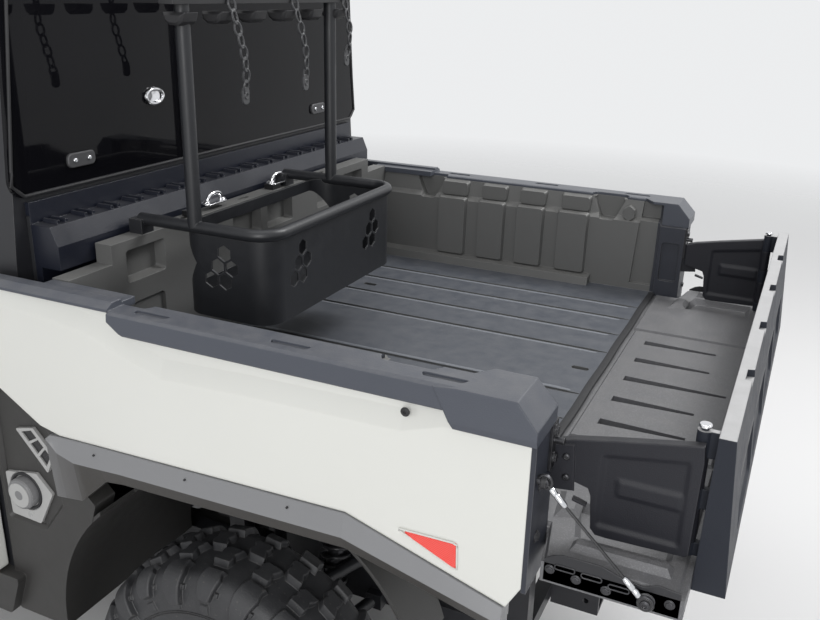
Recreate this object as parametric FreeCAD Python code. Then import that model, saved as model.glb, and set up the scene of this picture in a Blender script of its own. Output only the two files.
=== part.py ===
import FreeCAD, Part
import math
import os

# Side by side utility vehicle, millimetres.
# Stations (x) run forward from the seam between bed floor and tailgate, y is to the left and
# z is up from the ground. SHIFT_X centres the whole length on export.

os.makedirs("parts", exist_ok=True)
V = FreeCAD.Vector

# Wheels
TYRE_R = 356.0
TYRE_W = 240.0
RIM_R = 178.0
FLANGE_H = 13.0
TYRE_SIDES = 30
LUGS = 22
LUG_H = 17.0
LUG_SHARE, TIP_SHARE = 0.62, 0.52
BEAD_SET = 18.0
SEAT_GAP = 0.3
HUB_R = 60.0
SPINDLE_R = 22.0
RUN_GAP = 0.05
KINGPIN_R = 9.0

# Widths, from the centre line
BODY_Y = 800.0
PANEL_T = 28.0
PANEL_SPACE = 40.0
WALL = 30.0
CAGE_SET = 45.0
CAGE_T = 50.0
DOOR_GAP = 10.0
TYRE_SET = 15.0

# Heights
RAIL_DROP = 25.0
RAIL_H = 50.0
PAN_RISE = 60.0
BELT_H = 710.0
CAB_H = 810.0
COWL_H = 86.0
BED_RISE = 645.0
SIDE_H = 277.0
HEAD_H = 340.0
CAP_T = 8.0

# Lengths along the vehicle
BED_LEN = 965.0
AXLE_SET = 345.0
CAB_GAP = 135.0
CAB_LEN = 1210.0
FRONT_SET = 440.0
NOSE_LEN = 870.0
SHOCK_X = 60.0
ARCH_GAP = 92.0
RAIL_IN, RAIL_OUT = 210.0, 260.0

# Tailgate extension, behind the bed
POST_BACK = -75.0
GATE_LEN = 328.0
GATE_T = 45.0
END_T = 55.0
END_H = 240.0
FLAP_SET = 18.0
FLAP_T = 20.0
HINGE_X = 60.0
HINGE_DROP = 80.0

# Pins
PIN_R = 6.0
BED_PIN_R = 10.0
LEAN = 5.0

# Stations and levels that follow from the sizes above
AXLE_Z = TYRE_R * math.cos(math.pi / LUGS * (1 - TIP_SHARE))
CARCASS_R = TYRE_R - LUG_H
TREAD_BASE = CARCASS_R - LUG_H
FLANGE_R = RIM_R + FLANGE_H
TYRE_OUT = BODY_Y - TYRE_SET
TYRE_IN = TYRE_OUT - TYRE_W
KINGPIN_Y = TYRE_IN - 25.0
RAIL_LOW = AXLE_Z - RAIL_DROP
RAIL_TOP = RAIL_LOW + RAIL_H
CAB_FLOOR = RAIL_TOP + PAN_RISE
BELT_Z = CAB_FLOOR + BELT_H
ROOF_Z = BELT_Z + CAB_H
COWL_Z = BELT_Z + COWL_H
FLOOR_Z = AXLE_Z + BED_RISE
SIDE_TOP = FLOOR_Z + SIDE_H
CAP_TOP = SIDE_TOP + CAP_T
CAP_LOW = SIDE_TOP - 35.0
HEAD_TOP = FLOOR_Z + HEAD_H
TUB_BASE = FLOOR_Z - 30.0
PANEL_IN = BODY_Y - PANEL_T
TUB_OUT = PANEL_IN - PANEL_SPACE
BED_HALF = TUB_OUT - WALL - 10.0
WALL_TOP_IN = BED_HALF + 46.0
CAGE_OUT = BODY_Y - CAGE_SET
CAGE_IN = CAGE_OUT - CAGE_T
CAB_IN = CAGE_IN - 15.0
DOOR_IN = CAGE_OUT + DOOR_GAP
REAR_X = BED_LEN - AXLE_SET
CAB_BACK = BED_LEN + CAB_GAP
CAB_FRONT = CAB_BACK + CAB_LEN
FRONT_X = CAB_FRONT + FRONT_SET
FRONT_END = CAB_FRONT + NOSE_LEN
DOOR_BACK, DOOR_FRONT = CAB_BACK + 140.0, CAB_FRONT - 170.0
DOOR_HINGE = (DOOR_FRONT + 12.0, BODY_Y + 12.0)
DOOR_HINGE_Z = (BELT_Z - 390.0, BELT_Z - 90.0)
PILLAR_B = CAB_BACK + 160.0
HOOD_HINGE = (CAB_FRONT + 10.0, COWL_Z - 34.0)
BED_HINGE = (HINGE_X, FLOOR_Z - HINGE_DROP)
ARCH_R = TYRE_R + ARCH_GAP
ARCH_Z = AXLE_Z + 45.0
FENDER_IN = TYRE_IN + 26.0
GATE_END = -GATE_LEN
GATE_Z = FLOOR_Z - GATE_T
GATE_Y = BODY_Y - 10.0
END_BACK = GATE_END - END_T
END_TOP = FLOOR_Z + END_H
FLAP_PIN = (GATE_END + FLAP_SET, BODY_Y - 132.0)
FLAP_IN = FLAP_PIN[1] + 12.0
FLAP_OUT = FLAP_IN + FLAP_T
SHIFT_X = -(FRONT_END + END_BACK) / 2.0

PARTS = {}


def box(x0, x1, y0, y1, z0, z1):
    return Part.makeBox(x1 - x0, y1 - y0, z1 - z0, V(x0, y0, z0))


def outline(points, radius=0.0):
    # closed wire through the points, each corner rounded as far as its two sides leave room
    corners = []
    for i, p in enumerate(points):
        a = points[i - 1] - p
        b = points[(i + 1) % len(points)] - p
        half = a.getAngle(b) / 2.0
        step = min(radius / math.tan(half), 0.45 * a.Length, 0.45 * b.Length)
        a.normalize()
        b.normalize()
        towards = a + b
        if step > 0.05:
            towards.normalize()
            reach = step / math.cos(half) - step * math.tan(half)
            corners.append((p + a * step, p + towards * reach, p + b * step))
        else:
            corners.append((p, p, p))
    edges = []
    for i, (start, middle, end) in enumerate(corners):
        if start != end:
            edges.append(Part.Arc(start, middle, end).toShape())
        edges.append(Part.makeLine(end, corners[(i + 1) % len(corners)][0]))
    return Part.Wire(edges)


def slab(points, y0, y1, radius=0.0):
    # outline of (x, z) points drawn out along y
    return Part.Face(outline([V(x, y0, z) for x, z in points], radius)).extrude(V(0, y1 - y0, 0))


def rib(points, x0, x1, radius=0.0):
    # outline of (y, z) points drawn out along x
    return Part.Face(outline([V(x0, y, z) for y, z in points], radius)).extrude(V(x1 - x0, 0, 0))


def plate(points, z0, z1, radius=0.0):
    # outline of (x, y) points drawn out along z
    return Part.Face(outline([V(x, y, z0) for x, y in points], radius)).extrude(V(0, 0, z1 - z0))


def shrink(points, inset):
    # the outline with every side moved inward by the same distance
    whole = V(0, 0, 0)
    for i, p in enumerate(points):
        whole += points[i - 1].cross(p)
    moved = []
    for i, p in enumerate(points):
        a = points[i - 1] - p
        b = points[(i + 1) % len(points)] - p
        half = a.getAngle(b) / 2.0
        inward = 1 if b.cross(a).dot(whole) > 0 else -1
        a.normalize()
        b.normalize()
        towards = a + b
        towards.normalize()
        moved.append(p + towards * (inward * inset / math.sin(half)))
    return moved


def pad(points, lift, inset, radius=0.0):
    # raised or sunk field with sloping sides: the outline lofted to a smaller one
    top = [p + lift for p in shrink(points, inset)]
    return Part.makeLoft([outline(points, radius), outline(top, radius)], True, True)


def rod(a, b, r):
    a, b = V(*a), V(*b)
    return Part.makeCylinder(r, (b - a).Length, a, b - a)


def flip(shape):
    return shape.mirror(V(0, 0, 0), V(0, 1, 0))


def join(shapes):
    first = shapes[0]
    return first.fuse(shapes[1:]).removeSplitter() if len(shapes) > 1 else first


def pair(shape):
    return [shape, flip(shape)]


def both(shape):
    return Part.makeCompound(pair(shape))


def keep(name, shape):
    PARTS[name] = shape


def turned(profile, x, z):
    # closed profile of (radius, y) points turned about an axle line
    wire = outline([V(x + r, y, z) for r, y in profile])
    return Part.Face(wire).revolve(V(x, 0, z), V(0, 1, 0), 360)


def lean_in(shape, y, z):
    out = shape.copy()
    out.rotate(V(0, y, z), V(1, 0, 0), LEAN)
    return out


# Chassis

RAIL_BACK = HINGE_X
RAIL_FRONT = FRONT_END - 130.0
BED_REST = (BED_LEN - 65.0, BED_LEN - 15.0)
FRONT_POSTS = (FRONT_X - 190.0, FRONT_X + 170.0)
REAR_SUB_Z = AXLE_Z + 285.0
FRONT_SUB_Z = AXLE_Z + 405.0
POST = 50.0


def make_frame():
    bits = []
    rest_top = BED_HINGE[1] + 5
    low_cross = (RAIL_BACK, REAR_X + 20, BED_REST[0], CAB_BACK + 400, CAB_FRONT - 210, FRONT_POSTS[0],
                 FRONT_POSTS[1], RAIL_FRONT - 40)
    for x in low_cross:
        bits.append(box(x, x + 40, -RAIL_IN, RAIL_IN, RAIL_LOW + 5, RAIL_TOP - 5))
    # columns: station, level of the upper cross tube
    for x, z in ((RAIL_BACK, REAR_SUB_Z), (FRONT_POSTS[0], FRONT_SUB_Z), (FRONT_POSTS[1], FRONT_SUB_Z),
                 (BED_REST[0], BED_HINGE[1] - 35)):
        bits.append(box(x, x + 40, -RAIL_IN, RAIL_IN, z, z + 40))
    side = [box(RAIL_BACK, RAIL_FRONT, RAIL_IN, RAIL_OUT, RAIL_LOW, RAIL_TOP)]
    # columns: station, width, top of the post
    for x, w, top in ((RAIL_BACK, POST, BED_HINGE[1] - 20), (BED_REST[0], POST, rest_top),
                      (FRONT_POSTS[0], POST, FRONT_SUB_Z), (FRONT_POSTS[1], POST, FRONT_SUB_Z),
                      (REAR_X - 60, 30, REAR_SUB_Z), (REAR_X + 30, 30, REAR_SUB_Z)):
        side.append(box(x, x + w, RAIL_IN, RAIL_OUT, RAIL_TOP, top))
    side.append(box(RAIL_BACK + POST, BED_REST[0], RAIL_IN, RAIL_OUT, REAR_SUB_Z, REAR_SUB_Z + 40))
    side.append(box(FRONT_POSTS[0], FRONT_POSTS[1] + POST, RAIL_IN, RAIL_OUT, FRONT_SUB_Z, FRONT_SUB_Z + 40))
    for x in (CAB_BACK + 200, CAB_FRONT - 210):
        side.append(box(x, x + 50, RAIL_IN, CAB_IN, RAIL_TOP, CAB_FLOOR))
    for x, z in ((REAR_X, REAR_SUB_Z), (FRONT_X, FRONT_SUB_Z)):
        side.append(box(x - SHOCK_X - 22, x - SHOCK_X + 22, RAIL_OUT, RAIL_OUT + 45, z, z + 40))
    bx, bz = BED_HINGE
    ears = []
    for y in (RAIL_IN + 6, RAIL_OUT - 16):
        ears.append(slab([(bx - 22, bz - 20), (bx + 26, bz - 20), (bx + 20, bz + 18), (bx - 18, bz + 18)],
                         y - 6, y + 6, 12))
    ears.append(rod((bx, RAIL_IN - 5, bz), (bx, RAIL_OUT - 5, bz), BED_PIN_R))
    side.append(join(ears))
    for s in side:
        bits += pair(s)
    keep("frame", Part.makeCompound(bits))


RECEIVER_X, RECEIVER_Z = -70.0, RAIL_LOW + 25.0


def make_hitch_receiver():
    outer, bore, pin = 36.0, 25.5, 8.0
    body = box(RECEIVER_X, RAIL_BACK, -outer, outer, RECEIVER_Z - outer, RECEIVER_Z + outer)
    body = body.cut(box(RECEIVER_X - 1, RAIL_BACK - 20, -bore, bore, RECEIVER_Z - bore, RECEIVER_Z + bore))
    x = RECEIVER_X + 35
    keep("hitch_receiver", body.cut(rod((x, -outer - 4, RECEIVER_Z), (x, outer + 4, RECEIVER_Z), pin)))


def make_skid_plate():
    low = RAIL_LOW - 8
    points = [(REAR_X + 80, low), (FRONT_X + 110, low), (RAIL_FRONT - 10, RAIL_LOW), (REAR_X + 80, RAIL_LOW)]
    body = slab(points, -RAIL_OUT, RAIL_OUT)
    slots = 7
    pitch = (FRONT_X - REAR_X - 230) / slots
    for k in range(slots):
        x = REAR_X + 280 + pitch * k
        body = body.cut(plate([(x, -120), (x + 60, -120), (x + 60, 120), (x, 120)], low - 5, RAIL_LOW + 5,
                              20))
    keep("skid_plate", body)


def make_engine_block():
    keep("engine_block", box(REAR_X + 140, REAR_X + 440, -170, 170, RAIL_TOP - 5, RAIL_TOP + 380))


def make_driveline():
    low = RAIL_TOP - 5
    rear = [slab([(REAR_X - 80, low), (REAR_X + 80, low), (REAR_X + 80, low + 150), (REAR_X + 20, low + 185),
                  (REAR_X - 60, low + 185), (REAR_X - 80, low + 120)], -110, 110, 18)]
    rear.append(box(REAR_X + 80, REAR_X + 140, -80, 80, low + 45, low + 145))
    front = [slab([(FRONT_X - 90, low - 40), (FRONT_X + 90, low - 40), (FRONT_X + 90, low + 80),
                   (FRONT_X + 40, low + 125), (FRONT_X - 40, low + 125), (FRONT_X - 90, low + 80)], -95, 95,
                  18)]
    front.append(box(FRONT_X - 190, FRONT_X - 90, -60, 60, low, low + 85))
    front.append(box(FRONT_X - 190, FRONT_X - 130, -RAIL_IN, RAIL_IN, low + 25, low + 55))
    for x, y, bits in ((REAR_X, 100, rear), (FRONT_X, 85, front)):
        for s in (1, -1):
            joint = (x, s * (KINGPIN_Y - 65), AXLE_Z + 10)
            bits.append(rod((x, s * y, low + 55), joint, 17))
    keep("driveline", Part.makeCompound([join(rear), join(front)]))


# Wheels

# columns: distance from the tyre's inner side, width, drop of the lug tips, phase in pitches
TREAD_ROWS = ((4.0, 116.0, 0.0, 0.0), (120.0, 116.0, 0.0, 0.5))


def toothed_ring(x, y0, y1, tip, phase):
    pitch = 2 * math.pi / LUGS
    rise = (LUG_SHARE - TIP_SHARE) / 2
    points = []
    for k in range(LUGS):
        for r, t in ((CARCASS_R, 0), (tip, rise), (tip, LUG_SHARE - rise), (CARCASS_R, LUG_SHARE)):
            a = (k + phase + t - LUG_SHARE / 2) * pitch - math.pi / 2
            points.append((x + r * math.cos(a), AXLE_Z + r * math.sin(a)))
    inside = [many_sided(x, y, TREAD_BASE) for y in (y0 - 1, y1 + 1)]
    return slab(points, y0, y1).cut(flat_sided(inside))


def many_sided(x, y, r):
    points = []
    for k in range(TYRE_SIDES):
        a = 2 * math.pi * k / TYRE_SIDES
        points.append(V(x + r * math.cos(a), y, AXLE_Z + r * math.sin(a)))
    return points


def flat_sided(rings):
    # solid through the rings of points, with a flat face for every side of every band
    faces = []
    for near, far in zip(rings[:-1], rings[1:]):
        for i in range(len(near)):
            faces.append(Part.Face(outline([near[i - 1], near[i], far[i], far[i - 1]])))
    for ring in (rings[0], rings[-1]):
        faces.append(Part.Face(outline(ring)))
    solid = Part.makeSolid(Part.makeShell(faces))
    return solid if solid.Volume > 0 else solid.reversed()


def make_tyre(x, side):
    edge = TREAD_ROWS[0][0]
    # columns: distance from the inner side, radius of the wall there
    wall = ((BEAD_SET, FLANGE_R + 3), (0, TYRE_R - 95), (edge, TREAD_BASE), (TYRE_W - edge, TREAD_BASE),
            (TYRE_W, TYRE_R - 95), (TYRE_W - BEAD_SET, FLANGE_R + 3))
    body = flat_sided([many_sided(x, side * (TYRE_IN + y), r) for y, r in wall])
    for start, width, drop, phase in TREAD_ROWS:
        y0, y1 = sorted((side * (TYRE_IN + start), side * (TYRE_IN + start + width)))
        body = body.fuse(toothed_ring(x, y0, y1, TYRE_R - drop, phase))
    bore = (RIM_R + SEAT_GAP) / math.cos(math.pi / TYRE_SIDES)
    return body.cut(flat_sided([many_sided(x, side * y, bore) for y in (TYRE_IN - 5, TYRE_OUT + 5)]))


def make_rim(x, side):
    lip = BEAD_SET - SEAT_GAP
    disc = TYRE_W - 85
    bore = SPINDLE_R + RUN_GAP
    well = RIM_R - 8
    profile = [(FLANGE_R, 5), (FLANGE_R, lip), (RIM_R, lip), (RIM_R, TYRE_W - lip), (FLANGE_R, TYRE_W - lip),
               (FLANGE_R, TYRE_W - 5), (well, TYRE_W - 5), (well, disc), (HUB_R, disc), (HUB_R, disc + 30),
               (bore, disc + 30), (bore, disc - 60), (HUB_R, disc - 60), (HUB_R, disc - 14),
               (well, disc - 14),
               (well, 5)]
    rim = turned([(r, side * (TYRE_IN + y)) for r, y in profile], x, AXLE_Z)
    y0, y1 = sorted((side * (TYRE_IN + disc - 30), side * (TYRE_IN + disc + 30)))
    windows = 7
    for k in range(windows):
        corners = []
        for r, a in ((82, -13), (152, -18), (152, 18), (82, 13)):
            turn = math.radians(360.0 / windows * k + a)
            corners.append((x + r * math.cos(turn), AXLE_Z + r * math.sin(turn)))
        rim = rim.cut(slab(corners, y0, y1))
    return rim


def make_wheels():
    for tag, x, s in (("fl", FRONT_X, 1), ("fr", FRONT_X, -1), ("rl", REAR_X, 1), ("rr", REAR_X, -1)):
        keep("rim_" + tag, make_rim(x, s))
        keep("tyre_" + tag, make_tyre(x, s))


# Suspension

ARM_TABLE = ((REAR_X, 0.0, -85.0), (REAR_X, 145.0, 100.0), (FRONT_X, 0.0, -115.0), (FRONT_X, 165.0, 125.0))
ARM_HALF = 150.0
ARM_R = 16.0


def spindle(x, root):
    stub = rod((x, root, AXLE_Z), (x, TYRE_OUT - 40, AXLE_Z), SPINDLE_R)
    shoulder = rod((x, root, AXLE_Z), (x, TYRE_OUT - 153, AXLE_Z), 42)
    return join([stub, shoulder])


def make_knuckles():
    y0 = KINGPIN_Y - 50
    upright = slab([(REAR_X - 26, AXLE_Z - 115), (REAR_X + 26, AXLE_Z - 115), (REAR_X + 50, AXLE_Z),
                    (REAR_X + 26, AXLE_Z + 124), (REAR_X - 26, AXLE_Z + 124), (REAR_X - 50, AXLE_Z)],
                   y0, KINGPIN_Y, 14)
    keep("rear_knuckles", both(join([upright, spindle(REAR_X, KINGPIN_Y - 10)])))
    y0, y1 = KINGPIN_Y - 25, KINGPIN_Y + 25
    upright = slab([(FRONT_X - 30, AXLE_Z - 94), (FRONT_X + 30, AXLE_Z - 94), (FRONT_X + 48, AXLE_Z),
                    (FRONT_X + 30, AXLE_Z + 102), (FRONT_X - 30, AXLE_Z + 102), (FRONT_X - 48, AXLE_Z)], y0,
                   y1, 10)
    arm = box(FRONT_X - 150, FRONT_X - 34, y0 + 10, y1 - 10, AXLE_Z - 55, AXLE_Z - 30)
    body = join([upright, arm, spindle(FRONT_X, KINGPIN_Y + 20)])
    for z0, z1 in ((AXLE_Z - 95, AXLE_Z - 73), (AXLE_Z + 83, AXLE_Z + 103)):
        body = body.cut(rod((FRONT_X, KINGPIN_Y, z0), (FRONT_X, KINGPIN_Y, z1), KINGPIN_R + RUN_GAP))
    keep("knuckle_left", body)
    keep("knuckle_right", flip(body))


def arm_set(x, y_out, z_in, z_out):
    y_in = RAIL_OUT + 12
    bits = []
    for d in (-ARM_HALF, ARM_HALF):
        bits.append(rod((x + d, y_in, z_in), (x + d * 0.18, y_out, z_out), ARM_R))
        bits.append(box(x + d - 22, x + d + 22, RAIL_OUT, y_in + 22, z_in - 22, z_in + 22))
    bits.append(box(x - 32, x + 32, y_out - 26, y_out + 14, z_out - 18, z_out + 18))
    return bits


def make_suspension_arms():
    bits = []
    for x, z_in, z_out in ARM_TABLE:
        y_out = KINGPIN_Y - (64 if x == REAR_X else 44)
        bits += arm_set(x, y_out, AXLE_Z + z_in, AXLE_Z + z_out)
    # columns: level of the joint plate, level of the stud's tip
    for z, tip in ((-115, -74), (125, 84)):
        z0 = AXLE_Z + z
        bits.append(box(FRONT_X - 26, FRONT_X + 26, KINGPIN_Y - 40, KINGPIN_Y + 16, z0 - 18, z0 + 18))
        bits.append(rod((FRONT_X, KINGPIN_Y, z0), (FRONT_X, KINGPIN_Y, AXLE_Z + tip), KINGPIN_R))
    for x, top in ((REAR_X, AXLE_Z + 175), (FRONT_X, AXLE_Z + 187)):
        for x0, x1 in ((-172, -30), (30, 172)):
            bits.append(box(x + x0, x + x1, RAIL_OUT, RAIL_OUT + 8, AXLE_Z - 22, top))
    keep("suspension_arms", both(join(bits)))


def make_shocks():
    bits = []
    for x, low_z, top_z in ((REAR_X, AXLE_Z - 55, REAR_SUB_Z + 2), (FRONT_X, AXLE_Z - 65, FRONT_SUB_Z + 2)):
        low, top = V(x - SHOCK_X, RAIL_OUT + 140, low_z), V(x - SHOCK_X, RAIL_OUT + 24, top_z)
        run = top - low
        body = [rod(tuple(low), tuple(top), 14), rod(tuple(low + run * 0.2), tuple(low + run * 0.86), 24)]
        for t in (0.2, 0.84):
            body.append(rod(tuple(low + run * t), tuple(low + run * (t + 0.02)), 36))
        bits.append(join(body))
    keep("shocks", both(Part.makeCompound(bits)).cut(PARTS["frame"]).cut(PARTS["suspension_arms"]))


# Cab

CROSS_Z = BELT_Z + 260.0
GLASS_FOOT = CROSS_Z + 40.0
NOSE_FOOT = (CAB_FRONT + 20.0, BELT_Z + 30.0)
ROOF_NOSE = CAB_FRONT - 225.0


def quarter_window():
    return [(DOOR_FRONT + 45, BELT_Z + 40), (NOSE_FOOT[0] - 68, BELT_Z + 40), (DOOR_FRONT + 25, BELT_Z + 345)]


def side_frame():
    outer = [(CAB_BACK, BELT_Z), (CAB_BACK, ROOF_Z), (ROOF_NOSE, ROOF_Z), NOSE_FOOT, (NOSE_FOOT[0], BELT_Z)]
    inner = [(PILLAR_B, BELT_Z - 1), (PILLAR_B, ROOF_Z - 55), (ROOF_NOSE - 45, ROOF_Z - 55),
             (DOOR_FRONT + 12, BELT_Z + 20), (DOOR_FRONT + 12, BELT_Z - 1)]
    upper = slab(outer, CAGE_IN, CAGE_OUT).cut(slab(inner, CAGE_IN - 5, CAGE_OUT + 5, 30))
    upper = upper.cut(slab(quarter_window(), CAGE_IN - 5, CAGE_OUT + 5, 14))
    low = [box(CAB_BACK, PILLAR_B, CAGE_IN, CAGE_OUT, CAB_FLOOR + 20, BELT_Z + 2),
           box(NOSE_FOOT[0] - 68, NOSE_FOOT[0], CAGE_IN, CAGE_OUT, CAB_FLOOR + 20, BELT_Z + 2)]
    return [lean_in(upper, CAGE_OUT, BELT_Z)] + low


def hinge_lug(z):
    x, y = DOOR_HINGE
    bits = [rod((x, y, z - 32), (x, y, z + 32), PIN_R)]
    for low in (z - 30, z + 10):
        bits.append(plate([(x - 6, CAGE_OUT - 10), (x + 6, CAGE_OUT - 10), (x + 6, y), (x - 6, y)], low,
                          low + 20))
        bits.append(rod((x, y, low), (x, y, low + 20), 2 * PIN_R))
    bits.append(box(x - 6, NOSE_FOOT[0] - 60, CAGE_OUT - 15, CAGE_OUT - 3, z - 30, z + 30))
    return bits


def make_cab_cage():
    side = side_frame()
    for z in DOOR_HINGE_Z:
        side += hinge_lug(z)
    bits = pair(join(side))
    reach = CAGE_IN + 5.16 - (ROOF_Z - 5 - BELT_Z) * math.sin(math.radians(LEAN))
    for x in (CAB_BACK, ROOF_NOSE - 65):
        bits.append(box(x, x + 50, -reach, reach, ROOF_Z - 50, ROOF_Z - 5))
    bits.append(box(CAB_BACK, CAB_BACK + 50, -CAGE_IN, CAGE_IN, CROSS_Z, CROSS_Z + 45))
    keep("cab_cage", join(bits))


def make_roof():
    back, front, half = CAB_BACK - 50, CAB_FRONT - 110, CAGE_IN - 15
    base = [V(back, -half, ROOF_Z), V(back, half, ROOF_Z), V(ROOF_NOSE - 25, half, ROOF_Z),
            V(front, half - 70, ROOF_Z), V(front + 18, 0, ROOF_Z), V(front, 70 - half, ROOF_Z),
            V(ROOF_NOSE - 25, -half, ROOF_Z)]
    edge = Part.Face(outline(base, 60)).extrude(V(0, 0, 20))
    crown = pad([p + V(0, 0, 20) for p in base], V(0, 0, 32), 46, 60)
    roof = join([edge, crown])
    for k in range(5):
        y = 210 * (k - 2)
        groove = [(back + 130, y - 40), (front - 190, y - 40), (front - 190, y + 40), (back + 130, y + 40)]
        roof = roof.cut(plate(groove, ROOF_Z + 43, ROOF_Z + 60, 35))
    keep("roof", roof)


def hood_lugs():
    x, z = HOOD_HINGE
    bits = []
    for s in (1, -1):
        for y in (s * 291.0, s * 327.0):
            bits.append(box(CAB_FRONT - 14, x, y - 7, y + 7, BELT_Z + 20, z))
            bits.append(rod((x, y - 7, z), (x, y + 7, z), PIN_R + 5))
        a, b = sorted((s * 285.0, s * 333.0))
        bits.append(rod((x, a, z), (x, b, z), PIN_R))
    return bits


def make_cab_tub():
    side, floor_top = CAGE_IN - 5, CAB_FLOOR + 20
    bits = [box(CAB_BACK - 10, CAB_FRONT, -side, side, CAB_FLOOR, floor_top)]
    bits.append(box(CAB_BACK - 10, CAB_BACK + 12, -side, side, floor_top, CROSS_Z))
    wall = box(CAB_FRONT - 20, CAB_FRONT, -side, side, floor_top, BELT_Z)
    cowl = box(CAB_FRONT - 24, CAB_FRONT - 12, -CAB_IN, CAB_IN, BELT_Z - 20, COWL_Z)
    ledge = box(CAB_FRONT - 24, CAB_FRONT + 5, -CAB_IN, CAB_IN, COWL_Z - 8, COWL_Z)
    bits.append(join([wall, cowl, ledge] + hood_lugs()))
    bits.append(box(CAB_FRONT - 250, CAB_FRONT - 20, -60, 60, floor_top, CAB_FLOOR + 260))
    keep("cab_tub", Part.makeCompound([b.cut(PARTS["cab_cage"]) for b in bits]))


SEAT_Z = CAB_FLOOR + 300.0
SEAT_FRONT = CAB_BACK + 600.0


def make_seat_base():
    back = CAB_BACK + 12
    bits = [box(back, SEAT_FRONT, -CAB_IN, CAB_IN, SEAT_Z - 25, SEAT_Z)]
    for y in (15 - CAB_IN, -230, 230, CAB_IN - 15):
        bits.append(box(back, SEAT_FRONT - 10, y - 12, y + 12, CAB_FLOOR + 20, SEAT_Z - 25))
    keep("seat_base", Part.makeCompound(bits))


def make_cab_rear_panel():
    back, low = CAB_BACK - 82, CROSS_Z - 110
    points = [(back, low), (back, low + 52), (back + 18, CROSS_Z - 17), (back + 70, CROSS_Z - 17),
              (back + 70, GLASS_FOOT - 10), (CAB_BACK, GLASS_FOOT - 10), (CAB_BACK, CROSS_Z + 1),
              (CAB_BACK - 10, CROSS_Z + 1), (CAB_BACK - 10, FLOOR_Z - 100), (back + 54, FLOOR_Z - 100),
              (back + 54, low)]
    half = CAGE_IN - 5
    body = slab(points, -half, half)
    ridges = []
    for k in range(17):
        y = -640 + 80 * k
        for d in (0, 22):
            ridges.append(rib([(y + d, CROSS_Z - 22), (y + d + 3, CROSS_Z - 9), (y + d + 9, CROSS_Z - 9),
                               (y + d + 12, CROSS_Z - 22)], back + 24, back + 66))
    keep("cab_rear_panel", body.fuse(ridges).removeSplitter())


def make_rear_glass():
    drop = (ROOF_Z - 2 - GLASS_FOOT) * math.tan(math.radians(LEAN))
    low, high = CAGE_OUT - 12, CAGE_OUT - 12 - drop
    x = CAB_BACK - 8
    points = [V(x, -low, GLASS_FOOT), V(x, low, GLASS_FOOT), V(x, high, ROOF_Z - 2), V(x, -high, ROOF_Z - 2)]
    keep("rear_glass", Part.Face(outline(points, 40)).extrude(V(8, 0, 0)))


def make_windshield():
    foot = NOSE_FOOT[0] - (COWL_Z - NOSE_FOOT[1]) * (NOSE_FOOT[0] - ROOF_NOSE) / (ROOF_Z - NOSE_FOOT[1])
    low = CAGE_OUT - 9
    high = low - (ROOF_Z - COWL_Z) * math.tan(math.radians(LEAN))
    points = [V(foot, -low, COWL_Z), V(foot, low, COWL_Z), V(ROOF_NOSE, high, ROOF_Z),
              V(ROOF_NOSE, -high, ROOF_Z)]
    glass = Part.Face(outline(points)).extrude(V(6, 0, 1.9)).cut(PARTS["roof"])
    middle = (CAGE_IN + CAGE_OUT) / 2
    side = lean_in(slab(quarter_window(), middle - 3, middle + 3, 14), CAGE_OUT, BELT_Z)
    keep("windshield", Part.makeCompound([glass, side, flip(side)]))


BIN = (CAB_FRONT - 270.0, CAB_FRONT - 160.0, -560.0, -180.0, BELT_Z - 250.0, BELT_Z - 90.0)


def make_dashboard():
    top = BELT_Z - 4
    points = [(CAB_FRONT - 20, top), (CAB_FRONT - 20, BELT_Z - 290), (CAB_FRONT - 110, BELT_Z - 300),
              (CAB_FRONT - 230, BELT_Z - 250), (CAB_FRONT - 260, BELT_Z - 150),
              (CAB_FRONT - 230, BELT_Z - 30),
              (CAB_FRONT - 160, top)]
    body = slab(points, -CAB_IN, CAB_IN, 16).cut(box(*BIN))
    keep("dashboard", body.cut(PARTS["cab_tub"]))


SEAT_HALF = CAB_IN - 35.0


def make_seats():
    back, front = CAB_BACK + 130, SEAT_FRONT
    cushion = slab([(back, SEAT_Z), (front - 10, SEAT_Z), (front + 10, SEAT_Z + 50),
                    (front - 10, SEAT_Z + 110),
                    (back + 70, SEAT_Z + 98), (back, SEAT_Z + 80)], -SEAT_HALF, SEAT_HALF, 18)
    for y in (-220, 220):
        cushion = cushion.cut(box(back - 5, front + 20, y - 5, y + 5, SEAT_Z + 60, SEAT_Z + 120))
    keep("seat_cushion", cushion)
    rest = slab([(CAB_BACK + 70, SEAT_Z + 112), (back - 5, SEAT_Z + 112), (back + 70, SEAT_Z + 130),
                 (back - 10, CROSS_Z - 80), (back - 50, CROSS_Z - 10), (CAB_BACK + 70, CROSS_Z - 10)],
                -SEAT_HALF, SEAT_HALF, 16)
    for y in (-220, 220):
        rest = rest.cut(slab([(back + 10, SEAT_Z + 90), (back + 90, SEAT_Z + 90), (back + 20, CROSS_Z + 10),
                              (back - 40, CROSS_Z + 10)], y - 5, y + 5))
    carrier = box(CAB_BACK + 12, CAB_BACK + 70, -SEAT_HALF + 55, SEAT_HALF - 55, SEAT_Z + 160, CROSS_Z - 30)
    keep("seat_back", join([rest, carrier]))


WHEEL_HUB = (CAB_FRONT - 390.0, 350.0, BELT_Z - 65.0)
COLUMN_TILT = 33.0
WHEEL_R = 172.0
COLUMN = V(math.cos(math.radians(COLUMN_TILT)), 0, -math.sin(math.radians(COLUMN_TILT)))


def along(t):
    return tuple(V(*WHEEL_HUB) + COLUMN * t)


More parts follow.
